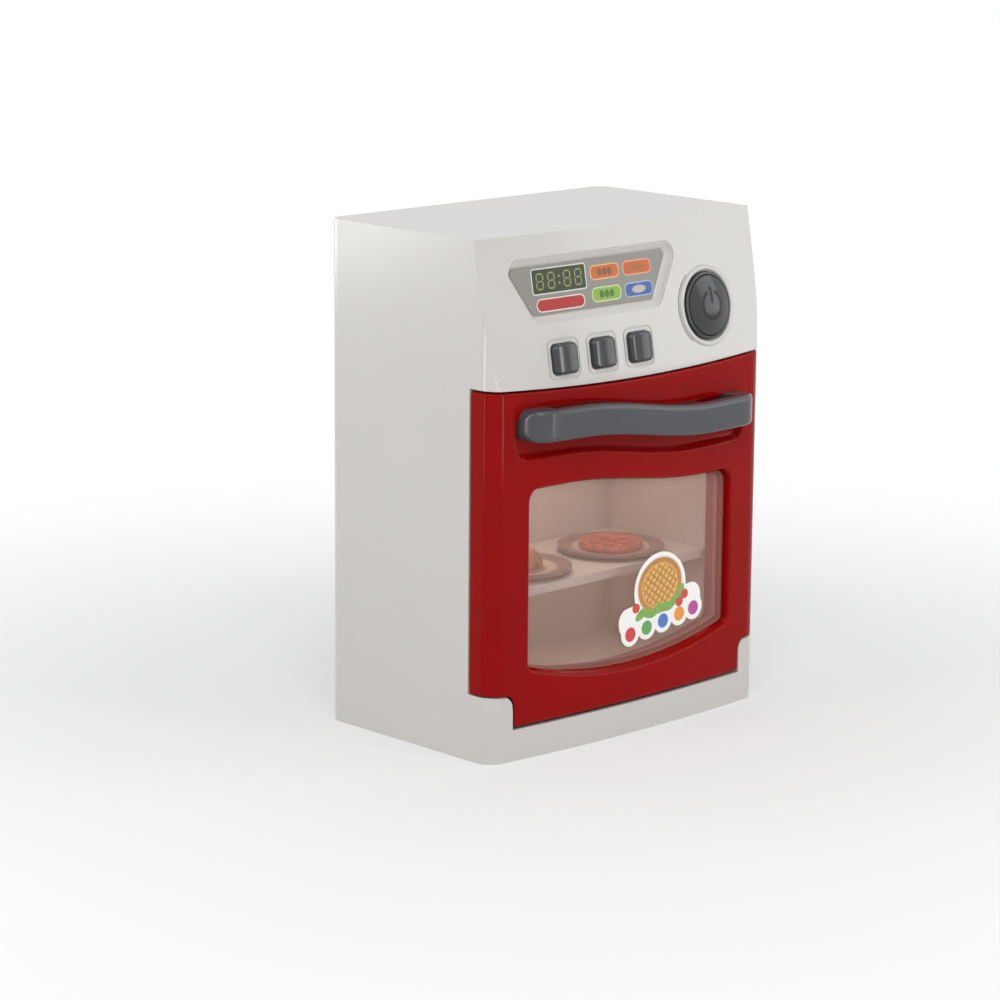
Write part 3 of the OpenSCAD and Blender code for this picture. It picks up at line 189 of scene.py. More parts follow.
def handle_z(x):
    """Height of the handle's middle line."""
    return DOOR_TOP - HANDLE_DOWN - HANDLE_DROP * ease(x, *BAND_WAVE)


def band_outline(half_l, half_h, radius, down):
    """A band that steps down to the right, for the handle and its scoop."""
    left = HANDLE_MID - half_l + radius
    right = HANDLE_MID + half_l - radius
    left_z = handle_z(left) - down
    right_z = handle_z(right) - down
    inner = half_h - radius
    return ([(x, handle_z(x) - down + half_h) for x in steps_between(BAND_WAVE[1], BAND_WAVE[0], 44)]
            + arc((left, left_z + inner), radius, 90, 180, 10)
            + arc((left, left_z - inner), radius, 180, 270, 10)
            + [(x, handle_z(x) - down - half_h) for x in steps_between(BAND_WAVE[0], BAND_WAVE[1], 44)]
            + arc((right, right_z - inner), radius, 270, 360, 10)
            + arc((right, right_z + inner), radius, 0, 90, 10))


def scoop_outline(grow):
    """The hollow behind the handle, grown all round."""
    down = (SCOOP_H - HANDLE_H) / 2 + 0.2
    return band_outline(HANDLE_W / 2 + 1 - SCOOP_FLARE + grow, SCOOP_H / 2 - SCOOP_FLARE + grow,
                        BAND_R + grow, down)


def display_outline(grow):
    """The display: narrower below, with round corners, grown all round."""
    radius = 2.0
    tilt = math.atan2((DISPLAY_TOP_W - DISPLAY_LOW_W) / 2, DISPLAY_H)
    tilt_deg = math.degrees(tilt)
    top = DISPLAY_UP + DISPLAY_H - radius
    low = DISPLAY_UP + radius
    top_x = DISPLAY_TOP_W / 2 - radius * (1 + math.sin(tilt)) / math.cos(tilt)
    low_x = DISPLAY_LOW_W / 2 - radius * (1 - math.sin(tilt)) / math.cos(tilt)
    return (arc((DISPLAY_X + top_x, top), radius + grow, -tilt_deg, 90, 8)
            + arc((DISPLAY_X - top_x, top), radius + grow, 90, 180 + tilt_deg, 8)
            + arc((DISPLAY_X - low_x, low), radius + grow, 180 + tilt_deg, 270, 8)
            + arc((DISPLAY_X + low_x, low), radius + grow, 270, 360 - tilt_deg, 8))


def round_rectangle(width, height, radius, steps=6):
    """Points round a rectangle with round corners, from its middle."""
    points = []
    for sx, sy, start in ((1, 1, 0), (-1, 1, 90), (-1, -1, 180), (1, -1, 270)):
        centre = (sx * (width / 2 - radius), sy * (height / 2 - radius))
        points += arc(centre, radius, start, start + 90, steps)
    return points


# ---------- making and shaping pieces ----------

def pick_nothing():
    bpy.ops.object.select_all(action="DESELECT")


def work_on(piece):
    """Makes one piece the only selected and active one."""
    pick_nothing()
    piece.select_set(True)
    bpy.context.view_layer.objects.active = piece


def shaping():
    bpy.ops.object.mode_set(mode="EDIT")


def shaped():
    bpy.ops.object.mode_set(mode="OBJECT")


def edit(piece):
    """Makes a piece ready for work on its faces, with none of them selected."""
    work_on(piece)
    shaping()
    bpy.ops.mesh.select_mode(type="FACE")
    bpy.ops.mesh.select_all(action="DESELECT")
    shaped()


def move_points(piece, place):
    """Puts every vertex where a function of its present place says."""
    for vertex in piece.data.vertices:
        vertex.co = Vector(place(*vertex.co))
    piece.data.update()


def in_ring_order(piece, face, ring):
    """The vertices of a face, in the order of the ring of points that it lies on."""
    found = list(face.vertices)
    count = len(found)
    probes = (0, 1, count // 3, count // 2)
    orders = [[found[(start + way * i) % count] for i in range(count)]
              for start in range(count) for way in (1, -1)]
    vertices = piece.data.vertices
    return min(orders, key=lambda order: sum(
        (vertices[order[i]].co - Vector(ring[i])).length for i in probes))


def loft(name, rings):
    """A closed solid through rings of equally many points, extruded from one to the next."""
    pick_nothing()
    bpy.ops.mesh.primitive_circle_add(vertices=len(rings[0]), radius=1, fill_type="NGON")
    piece = bpy.context.object
    piece.name = name
    for vertex, point in zip(piece.data.vertices, rings[0]):
        vertex.co = point
    shaping()
    bpy.ops.mesh.select_mode(type="FACE")
    bpy.ops.mesh.select_all(action="SELECT")
    below = rings[0]
    for ring in rings[1:]:
        bpy.ops.mesh.extrude_region_move()
        shaped()
        face = next(p for p in piece.data.polygons if p.select)
        for index, point in zip(in_ring_order(piece, face, below), ring):
            piece.data.vertices[index].co = point
        below = ring
        shaping()
    bpy.ops.mesh.select_all(action="SELECT")
    bpy.ops.mesh.normals_make_consistent(inside=False)
    shaped()
    return piece


def upright(outline, y):
    """An outline drawn in x and z, at one depth."""
    return [(x, y, z) for x, z in outline]


def flat(outline, z):
    """An outline drawn in x and y, at one height."""
    return [(x, y, z) for x, y in outline]


def plate(name, outline, y0, y1):
    return loft(name, [upright(outline, y0), upright(outline, y1)])


def along_x(name, profile, x0, x1):
    """A bar with one profile, drawn in y and z, from x0 to x1."""
    return loft(name, [[(x, y, z) for y, z in profile] for x in (x0, x1)])


def combine(piece, tool, operation="DIFFERENCE"):
    """Cuts a piece with another one, or keeps what both share."""
    work_on(piece)
    modifier = piece.modifiers.new("cut", "BOOLEAN")
    modifier.operation = operation
    modifier.solver = "EXACT"
    modifier.object = tool
    bpy.ops.object.modifier_apply(modifier=modifier.name)
    bpy.data.objects.remove(tool)
    return piece


def strips(piece, positions, axis=0):
    """Cuts the faces of a piece along upright planes, so that it can bend."""
    normal = [0, 0, 0]
    normal[axis] = 1
    edit(piece)
    shaping()
    for position in positions:
        point = [0, 0, 0]
        point[axis] = position
        bpy.ops.mesh.select_all(action="SELECT")
        bpy.ops.mesh.bisect(plane_co=point, plane_no=normal)
    shaped()


STRIP_W = 3.0
STRIP_XS = [STRIP_W * (i + 0.37) for i in range(-22, 22)]


def rounding(radius, steps=5):
    """How far in and how far below the top each ring of a rounded upper edge lies."""
    return [(radius * (1 - math.cos(math.radians(a))), radius * (1 - math.sin(math.radians(a))))
            for a in steps_between(0, 90, steps)]


def settle(piece, body, slot, *nodes, smooth=35):
    """Brings a finished piece to its place in metres, rounds its shading and hands it to a body."""
    piece.data.transform(Matrix.Scale(MM, 4) @ Matrix.Translation((0, -FRONT_TO_MIDDLE, 0)))
    return dress(piece, body, slot, *nodes, smooth=smooth)


def dress(piece, body, slot, *nodes, smooth=35):
    """Rounds a piece's shading, hands it to a body and hides the nodes that it stands for. The slot is not used.
    """
    work_on(piece)
    bpy.ops.object.shade_smooth_by_angle(angle=math.radians(smooth))
    weighted = piece.modifiers.new("even shading", "WEIGHTED_NORMAL")
    weighted.keep_sharp = True
    weighted.weight = 60
    bpy.ops.object.modifier_apply(modifier=weighted.name)
    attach(piece, body)
    if nodes:
        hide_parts(*nodes)
    return piece


def panel_matrix():
    """From x, up and out on the leaning panel to x, y and z."""
    return Matrix.Translation((0, 0, PANEL_Z)) @ Matrix.Rotation(math.pi / 2 - LEAN, 4, "X")


def on_panel(piece):
    """Lays a piece that was shaped in x, up and out onto the leaning panel."""
    piece.data.transform(panel_matrix())
    return piece


RECESS_REACH = 4
STEP_DROP = 0.29
STEPS_FROM = 0.2
STEPS_ABOVE_FLOOR = 0.15


def sink_recess_steps(piece):
    """Lowers the steps round the display, so that the sloping bezel covers them."""
    to_panel = panel_matrix()
    to_metres = Matrix.Scale(MM, 4) @ Matrix.Translation((0, -FRONT_TO_MIDDLE, 0)) @ to_panel
    from_metres = to_metres.inverted()
    for vertex in piece.data.vertices:
        x, up, out = from_metres @ vertex.co
        beside = abs(x - DISPLAY_X) < DISPLAY_TOP_W / 2 + RECESS_REACH
        level = -RECESS_REACH < up - DISPLAY_UP < DISPLAY_H + RECESS_REACH
        depth = -out - front_y(x)
        if beside and level and STEPS_FROM < depth < DISPLAY_DEPTH - STEPS_ABOVE_FLOOR:
            vertex.co = to_metres @ Vector((x, up, out - STEP_DROP))


def softened(node, width, segments=2, angle=38, flatten=0.4):
    """A copy of a frame node with its edges rounded, which stands for the node."""
    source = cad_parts[node]
    piece = bpy.data.objects.new(node + "_soft", source.data.copy())
    bpy.context.scene.collection.objects.link(piece)
    piece.data.materials.clear()
    edit(piece)
    shaping()
    bpy.ops.mesh.select_all(action="SELECT")
    bpy.ops.mesh.remove_doubles(threshold=0.000004)
    bpy.ops.mesh.dissolve_limited(angle_limit=math.radians(flatten))
    shaped()
    sink_recess_steps(piece)
    bevel = piece.modifiers.new("rounded edges", "BEVEL")
    bevel.width = width * MM
    bevel.segments = segments
    bevel.limit_method = "ANGLE"
    bevel.angle_limit = math.radians(angle)
    bevel.use_clamp_overlap = True
    bevel.harden_normals = False
    bpy.ops.object.modifier_apply(modifier=bevel.name)
    return piece


# ---------- door ----------

def fillet_in(start, slope_deg, radius, steps=4):
    """Profile of a rounded edge from the surface at distance start into a slope: (distance, depth)."""
    return [(start - radius * math.sin(math.radians(t)), radius * (1 - math.cos(math.radians(t))))
            for t in steps_between(8, slope_deg, steps)]


def cutter(name, outline, profile, flat_from=None):
    """A cutter with a rounded mouth that follows the bulge down to a depth."""
    rings = [upright(outline(grow), depth) for grow, depth in profile]
    tool = loft(name, rings)
    strips(tool, STRIP_XS)
    limit = 1e9 if flat_from is None else flat_from
    move_points(tool, lambda x, y, z: (x, y + front_y(x) if y < limit - 1e-4 else y, z))
    return tool


MOUTH_R = 0.9
CLEAR = 3.0


def window_cutter():
    slope_deg = math.degrees(math.atan2(WINDOW_DEPTH, WINDOW_SLOPE))
    mouth = fillet_in(MOUTH_R * 0.55, slope_deg, MOUTH_R)
    profile = [(mouth[0][0], -CLEAR), *mouth, (0.5 - WINDOW_SLOPE, WINDOW_DEPTH - 1.4),
               (-WINDOW_SLOPE, WINDOW_DEPTH), (-WINDOW_SLOPE, RIM_BACK), (-1.0, RIM_BACK),
               (-1.0, DOOR_D + CLEAR)]
    return cutter("window_cut", window_outline, profile, flat_from=WINDOW_DEPTH)


def scoop_cutter():
    slope_deg = math.degrees(math.atan2(SCOOP_DEPTH, SCOOP_FLARE))
    mouth = fillet_in(SCOOP_FLARE + MOUTH_R * 0.5, slope_deg, MOUTH_R)
    foot = [(0.35, SCOOP_DEPTH - 0.55), (0.0, SCOOP_DEPTH - 0.22), (-0.6, SCOOP_DEPTH)]
    return cutter("scoop_cut", scoop_outline, [(mouth[0][0], -CLEAR), *mouth, *foot])


def block_inner(radius_at):
    """How far from the middle a corner block's rounded inner side lies, at a height above the hinge."""
    top = BLOCK_Z + DOOR_GAP - HINGE_Z
    radius = BLOCK_R + DOOR_GAP
    over = max(0, radius_at - (top - radius))
    return BLOCK_X - DOOR_GAP + rise(radius, min(over, radius))


def cut_corner(door, side):
    """Cuts the room for a corner block of the plinth, rounded about the hinge axis in front."""
    top = BLOCK_Z + DOOR_GAP - HINGE_Z
    far = HALF_W + CLEAR
    heights = [top * math.sin(math.radians(a)) for a in steps_between(0, 90, 14)]

    def section(turn):
        away = [(block_inner(h), h) for h in heights] + [(far, top), (far, 0)]
        return [(side * x, HINGE_Y - h * math.sin(turn), HINGE_Z + h * math.cos(turn)) for x, h in away]

    combine(door, loft("turned_room", [section(math.radians(a)) for a in steps_between(-0.5, 90, 12)]))
    behind = [(block_inner(h), HINGE_Z + h) for h in heights]
    behind += [(far, BLOCK_Z + DOOR_GAP), (far, DOOR_LOW - CLEAR), (BLOCK_X - DOOR_GAP, DOOR_LOW - CLEAR)]
    combine(door, plate("room_behind", [(side * x, z) for x, z in behind], HINGE_Y - 0.01, DOOR_D + CLEAR))
    low = [(BLOCK_X - DOOR_GAP, HINGE_Z), (far, HINGE_Z), (far, DOOR_LOW - CLEAR),
           (BLOCK_X - DOOR_GAP, DOOR_LOW - CLEAR)]
    combine(door, plate("room_below", [(side * x, z) for x, z in low], -CLEAR, HINGE_Y + 0.02))
    bore = arc((HINGE_Y, HINGE_Z), PIN_R + 0.06, 0, 352.5, 47)
    inner = BLOCK_X - DOOR_GAP - LUG_T
    combine(door, along_x("pin_bore", bore, *sorted((side * (inner - 1), side * (BLOCK_X + 1)))))


def door_plan(inset):
    """The flat door from above, drawn in at its front and sides."""
    radius = CORNER_R - inset
    return (arc((HALF_W - CORNER_R, CORNER_R), radius, 0, -90, 12)
            + arc((-HALF_W + CORNER_R, CORNER_R), radius, -90, -180, 12)
            + [(inset - HALF_W, DOOR_D), (HALF_W - inset, DOOR_D)])


TOP_EDGE_R = 0.9


def door_skin():
    """The door's red moulding: bulged, with rounded edges, the scoop and the window cut into it."""
    rings = [flat(door_plan(0), DOOR_LOW - CLEAR)]
    rings += [flat(door_plan(inset), DOOR_TOP - below) for inset, below in rounding(TOP_EDGE_R, 3)]
    door = loft("door_skin", rings)
    profile = ([(DOOR_D, DOOR_TOP + CLEAR), (0, DOOR_TOP + CLEAR)]
               + arc((DOOR_EDGE, DOOR_LOW + DOOR_EDGE), DOOR_EDGE, 180, 270, 4)
               + arc((HINGE_Y, HINGE_Z), HINGE_R, -90, 0, 12) + [(DOOR_D, HINGE_Z)])
    combine(door, along_x("roll_profile", profile, -HALF_W - 1, HALF_W + 1), "INTERSECT")
    strips(door, STRIP_XS)
    move_points(door, lambda x, y, z: (
        x, y + front_y(x) * max(0, 1 - y / DOOR_D), z - (sag(x) if z > DOOR_TOP - 2 else 0)))
    for side in (-1, 1):
        cut_corner(door, side)
    combine(door, scoop_cutter())
    combine(door, window_cutter())
    sides = HALF_W - DOOR_SKIN
    back = [(x, DOOR_TOP - DOOR_SKIN - sag(x)) for x in steps_between(-sides, sides, 24)]
    low = BLOCK_Z + DOOR_GAP + DOOR_SKIN
    lug = BLOCK_X - DOOR_GAP - LUG_T
    back += [(sides, low), (lug, low), (lug, HINGE_Z), (-lug, HINGE_Z), (-lug, low), (-sides, low)]
    combine(door, plate("back_room", back, FRAME_PLATE_Y, DOOR_D + CLEAR))
    return settle(door, "door", "red_plastic", "door_shell")


HANDLE_EDGE_R = 1.7
END_SHARE = 1.04  # the round ends stop a little before their full quarter turn


def handle_band(inset, y):
    return upright(band_outline(HANDLE_W / 2 - inset, HANDLE_H / 2 - inset, BAND_R - inset, 0), y)


def handle_bar():
    """The handle: a bowed bar with rounded edges, on two feet in the scoop."""
    foot_y = SCOOP_DEPTH - 0.02
    rings = [handle_band(0, foot_y)]
    rings += [handle_band(inset, below - HANDLE_PROUD) for inset, below in rounding(HANDLE_EDGE_R)]
    bar = loft("handle_bar", rings)
    reach = HANDLE_W / 2 - HANDLE_FOOT
    middle = DOOR_TOP - HANDLE_DOWN
    gap = [(HANDLE_MID + sx * reach, middle + sz * 2 * HANDLE_H)
           for sx, sz in ((-1, -1), (1, -1), (1, 1), (-1, 1))]
    combine(bar, plate("finger_room", gap, HANDLE_T - HANDLE_PROUD, foot_y + CLEAR))
    ends = [HANDLE_MID + s * (HANDLE_W / 2 - 0.45 * i) for s in (-1, 1) for i in range(1, 15)]
    strips(bar, sorted(STRIP_XS + ends))

    def rounded_end(x, y, z):
        out = max(0, abs(x - HANDLE_MID) - (HANDLE_W / 2 - HANDLE_END_R))
        back = rise(HANDLE_END_R, min(out, HANDLE_END_R) / END_SHARE)
        return x, y + back * max(0, min(1, -y / HANDLE_PROUD)) + front_y(x), z

    move_points(bar, rounded_end)
    return settle(bar, "door", "grey_plastic", "handle")


# ---------- control panel ----------

def follow_panel(piece):
    """Bends a piece, shaped in x, up and out, so that it follows the panel's bulge."""
    move_points(piece, lambda x, up, out: (x, up, out - front_y(x)))
    return on_panel(piece)


def display_bezel():
    """The sloping edge of the display's recess, with a rounded lip."""
    slope_deg = math.degrees(math.atan2(DISPLAY_DEPTH, DISPLAY_SLOPE))
    mouth = fillet_in(DISPLAY_SLOPE + 0.75, slope_deg, MOUTH_R)
    outside = (DISPLAY_SLOPE + 0.7, -0.6)
    floor = -DISPLAY_DEPTH
    proud = 0.012
    rings = [outside, *[(grow, proud - depth) for grow, depth in mouth], (0.55, floor + 0.55),
             (0.06, floor + 0.2), (-0.1, floor - 0.2), (DISPLAY_SLOPE, floor - 0.2), outside]
    ring = loft("display_bezel", [flat(display_outline(grow), out) for grow, out in rings])
    edit(ring)
    for face in ring.data.polygons:
        face.select = len(face.vertices) > 4
    shaping()
    bpy.ops.mesh.delete(type="ONLY_FACE")
    bpy.ops.mesh.select_all(action="SELECT")
    bpy.ops.mesh.remove_doubles(threshold=0.001)
    bpy.ops.mesh.normals_make_consistent(inside=False)
    shaped()
    strips(ring, STRIP_XS)
    return settle(follow_panel(ring), "casing", "white_plastic")


def display_print():
    """The printed label on the floor of the recess."""
    thickness = 0.3
    gap = 0.15
    rings = [flat(display_outline(-gap), -DISPLAY_DEPTH)]
    rings += [flat(display_outline(-gap - inset), thickness - DISPLAY_DEPTH - below)
              for inset, below in rounding(0.12, 2)]
    label = loft("display_print", rings)
    strips(label, STRIP_XS)
    return settle(follow_panel(label), "casing", "panel_label", "display_label")


def push_key(name, x):
    """A small key with a crown that curves from side to side."""
    edge_r = 1.1
    corner_r = 1.9
    crown_r = 15.0

    def outline(inset):
        return round_rectangle(BUTTON_W - 2 * inset, BUTTON_H - 2 * inset, corner_r - inset)

    rings = [flat(outline(0), front_y(x) - KEY_DEPTH)]
    rings += [flat(outline(inset), BUTTON_PROUD - below) for inset, below in rounding(edge_r, 4)]
    key = loft(name + "_key", rings)
    strips(key, [BUTTON_W * (i / 12 - 0.5) for i in range(1, 12)])
    move_points(key, lambda u, v, out: (
        u, v, out - (rise(crown_r, min(abs(u), BUTTON_W / 2)) if out > 0 else 0)))
    key.data.transform(Matrix.Translation((x, BUTTON_UP, 0)))
    return settle(follow_panel(key), name, "grey_plastic", name)


def power_key():
    """The round power button: a dome inside a narrow rim."""
    radius = POWER_D / 2
    dome_r = 32.0
    top = 3.1
    inner = radius - 1.5
    profile = [(radius, -KEY_DEPTH), (radius, 0.75), (radius - 0.16, 1.15), (radius - 0.5, 1.36),
               (radius - 0.9, 1.36), (radius - 1.2, 1.1), (radius - 1.34, 0.95)]
    profile += [(r, top - rise(dome_r, r)) for r in steps_between(inner, 0.4, 12)]
    key = loft("power_key", [flat(arc((0, 0), r, 0, 355, 71), out) for r, out in profile])
    tilt = math.asin(POWER_X / BULGE_R)
    place = Matrix.Translation((POWER_X, POWER_UP, -front_y(POWER_X)))
    key.data.transform(place @ Matrix.Rotation(tilt, 4, "Y"))
    return settle(on_panel(key), "power_button", "grey_plastic", "power_button")


# ---------- finishes ----------

class Value:
    """One value of a finish, so that its maths reads as plain expressions."""

    def __init__(self, finish, socket):
        self.finish = finish
        self.socket = socket

    def _math(self, operation, *values):
        return self.finish.node("Math", {"operation": operation}, dict(enumerate(values)))

    def __add__(self, other):
        return self._math("ADD", self, other)

    __radd__ = __add__

    def __sub__(self, other):
        return self._math("SUBTRACT", self, other)

    def __rsub__(self, other):
        return self._math("SUBTRACT", other, self)

    def __mul__(self, other):
        return self._math("MULTIPLY", self, other)

    __rmul__ = __mul__

    def __truediv__(self, other):
        return self._math("DIVIDE", self, other)

    def __pow__(self, other):
        return self._math("POWER", self, other)

    def __abs__(self):
        return self._math("ABSOLUTE", self)

    def at_least(self, other):
        return self._math("MAXIMUM", self, other)

    def sine(self):
        return self._math("SINE", self)

    def root(self):
        return self._math("SQRT", self)


class Finish:
    """A material under construction."""

    def __init__(self, name, **sockets):
        self.material = bpy.data.materials.new(name)
        self.material.use_nodes = True
        self.tree = self.material.node_tree
        self.tree.nodes.clear()
        output = self.tree.nodes.new("ShaderNodeOutputMaterial")
        self.shader = self.tree.nodes.new("ShaderNodeBsdfPrincipled")
        self.tree.links.new(self.shader.outputs["BSDF"], output.inputs["Surface"])
        self.give(self.shader, sockets)
        self.place = None

    def give(self, node, sockets):
        for key, value in sockets.items():
            socket = node.inputs[key.replace("_", " ") if isinstance(key, str) else key]
            if isinstance(value, Value):
                self.tree.links.new(value.socket, socket)
            else:
                socket.default_value = value

    def node(self, kind, settings=None, sockets=None, out=0):
        node = self.tree.nodes.new("ShaderNode" + kind)
        for key, value in (settings or {}).items():
            if key == "stops":
                ramp = node.color_ramp
                while len(ramp.elements) < len(value):
                    ramp.elements.new(0.5)
                for element, (position, colour) in zip(ramp.elements, value):
                    element.position = position
                    element.color = colour
            else:
                setattr(node, key, value)
        self.give(node, sockets or {})
        return Value(self, node.outputs[out])

    def set(self, **sockets):
        self.give(self.shader, sockets)
        return self

    def point(self):
        """The place on the piece, in metres."""
        if self.place is None:
            self.place = self.node("TexCoord", out="Object")
        return self.place

    def xyz(self):
        """The place on the piece in millimetres, one value for each direction."""
        scaled = self.node("VectorMath", {"operation": "SCALE"}, {0: self.point(), "Scale": 1 / MM})
        parts = self.tree.nodes.new("ShaderNodeSeparateXYZ")
        self.tree.links.new(scaled.socket, parts.inputs[0])
        return [Value(self, parts.outputs[i]) for i in range(3)]

    def noise(self, size, detail=3.0, roughness=0.5, vector=None):
        """Soft noise whose blotches are about that many millimetres wide."""
        return self.node("TexNoise", {"noise_dimensions": "3D"}, {
            "Vector": vector or self.point(), "Scale": 1 / (size * MM), "Detail": detail, "Roughness": roughness})

    def span(self, value, low, high, to_low=0.0, to_high=1.0):
        """Eases from one value to another as value goes from low to high."""
        return self.node("MapRange", {"interpolation_type": "SMOOTHSTEP"}, {
            "Value": value, "From Min": low, "From Max": high, "To Min": to_low, "To Max": to_high})

    def mix(self, factor, first, second):
        """Goes from the first colour to the second as factor goes from 0 to 1."""
        node = self.tree.nodes.new("ShaderNodeMix")
        node.data_type = "RGBA"
        for index, value in ((0, factor), (6, first), (7, second)):
            socket = node.inputs[index]
            if isinstance(value, Value):
                self.tree.links.new(value.socket, socket)
            else:
                socket.default_value = value
        return Value(self, node.outputs[2])

    def relief(self, height, depth):
        """Bump from a height between 0 and 1, as deep as given in millimetres."""
        return self.node("Bump", None, {"Height": height, "Distance": depth * MM, "Strength": 1.0})

    def inside_box(self, u, v, centre, size, radius, edge=0.08):
        """1 inside a rectangle with round corners, 0 outside it."""
        du = (abs(u - centre[0]) - (size[0] / 2 - radius)).at_least(0)
        dv = (abs(v - centre[1]) - (size[1] / 2 - radius)).at_least(0)
        far = (du * du + dv * dv).root()
        return self.span(far, radius + edge, radius - edge)

    def inside_oval(self, u, v, centre, size, edge=0.05, turn=0.0):
        """1 inside an oval, 0 outside it."""
        c, s = math.cos(math.radians(turn)), math.sin(math.radians(turn))
        du = u - centre[0]
        dv = v - centre[1]
        a = (du * c + dv * s) / (size[0] / 2)
        b = (dv * c - du * s) / (size[1] / 2)
        return self.span((a * a + b * b).root(), 1 + edge, 1 - edge)


def rgb(red, green, blue):
    return (red, green, blue, 1.0)


def moulded(name, colour, gloss, coat=0.0, variation=0.06, grain=0.006, wear_share=0.2, shine=0.5):
    """Injection-moulded plastic: faint flow marks, uneven gloss and a fine skin."""
    finish = Finish(name, Coat_Weight=coat, Coat_Roughness=0.04, IOR=1.5, Specular_IOR_Level=shine)
    flow = finish.noise(26, 2.0)
    fine = finish.noise(0.55, 2.0)
    wear = finish.noise(4.0, 5.0, 0.62)
    darker = rgb(*[c * (1 - variation) for c in colour])
    lighter = rgb(*[min(1, c * (1 + variation)) for c in colour])
    smear = finish.span(wear, 0.45, 0.75)
    finish.set(Base_Color=finish.mix(finish.span(flow, 0.3, 0.7), darker, lighter),
               Roughness=gloss + smear * (gloss * wear_share),
               Normal=finish.relief(fine * 0.7 + flow * 0.3, grain))
    return finish


def metal(name, colour, rough, brush):
    """Drawn or turned metal with fine marks along one direction."""
    finish = Finish(name, Metallic=1.0)
    stretched = finish.node("Mapping", {"vector_type": "POINT"},
                            {"Vector": finish.point(), "Scale": (1, 1, 9)})
    lines = finish.noise(0.5, 3.0, vector=stretched)
    tarnish = finish.span(finish.noise(3.0), 0.35, 0.75)
    dull = rgb(*[c * 0.8 for c in colour])
    finish.set(Base_Color=finish.mix(tarnish, rgb(*colour), dull),
               Roughness=rough + lines * brush, Normal=finish.relief(lines, 0.004))
    return finish


def label_finish():
    """Grey printed label with a dark display window, seven-segment figures and coloured fields."""
    finish = Finish("printed_label", Roughness=0.32, Specular_IOR_Level=0.4)
    x, y, z = finish.xyz()
    up = (z - PANEL_Z) * math.cos(LEAN) + (y + FRONT_TO_MIDDLE) * math.sin(LEAN)
    speck = finish.noise(0.35, 2.0)
    colour = finish.mix(speck, rgb(0.22, 0.21, 0.185), rgb(0.27, 0.255, 0.225))

    def field(colour, centre, size, radius, edge_colour, fill, rim=0.5):
        outer = finish.inside_box(x, up, centre, (size[0] + 2 * rim, size[1] + 2 * rim), radius + rim)
        inner = finish.inside_box(x, up, centre, size, radius)
        return finish.mix(inner, finish.mix(outer, colour, edge_colour), fill)

    screen = (-29.3, 33.4)
    glass = finish.mix(finish.noise(3.0), rgb(0.022, 0.030, 0.014), rgb(0.034, 0.042, 0.020))
    colour = field(colour, screen, (23.0, 7.8), 0.7, rgb(0.62, 0.66, 0.58), glass, 0.4)
    pitch, first = 4.9, 5.9
    from_pair = abs(abs(x - screen[0]) - first)
    across = abs(from_pair - pitch / 2)
    v = up - screen[1]
    high = abs(v)
    bar = finish.inside_box(across, high, (1.35, 1.25), (0.55, 1.9), 0.15)
    middle = finish.inside_box(across, high, (0.0, 0.0), (2.2, 0.5), 0.15)
    ends = finish.inside_box(across, high, (0.0, 2.5), (2.2, 0.55), 0.15)
    colon = finish.inside_box(x, high, (screen[0], 1.1), (0.8, 0.8), 0.2)
    figures = bar.at_least(middle).at_least(ends).at_least(colon)
    colour = finish.mix(figures * 0.75, colour, rgb(0.30, 0.34, 0.12))
    colour = field(colour, (-29.5, 25.6), (20.4, 3.7), 1.8, rgb(0.75, 0.70, 0.62),
                   rgb(0.38, 0.022, 0.018), 0.35)
    fields = [((-8.9, 33.9), rgb(0.52, 0.12, 0.015), rgb(0.72, 0.42, 0.24), rgb(0.10, 0.07, 0.06)),
              ((6.2, 33.9), rgb(0.52, 0.10, 0.02), rgb(0.70, 0.34, 0.22), rgb(0.30, 0.12, 0.02)),
              ((-8.9, 26.6), rgb(0.22, 0.38, 0.05), rgb(0.56, 0.64, 0.34), rgb(0.02, 0.10, 0.015)),
              ((6.2, 26.6), rgb(0.045, 0.10, 0.32), rgb(0.36, 0.42, 0.60), rgb(0.55, 0.50, 0.38))]
    for i, (centre, fill, rim, mark) in enumerate(fields):
        colour = field(colour, centre, (12.6, 4.1), 1.5, rim, fill, 0.4)
        if i % 2:
            spots = finish.inside_oval(x, up, centre, (6.4, 2.6))
        else:
            spots = 0
            for dx in (-2.3, 0, 2.3):
                spot = finish.inside_oval(x, up, (centre[0] + dx, centre[1]), (2.1, 2.6))
                spots = spot.at_least(spots)
        colour = finish.mix(spots * 0.8, colour, mark)
    finish.set(Base_Color=colour, Normal=finish.relief(speck, 0.006))
    return finish


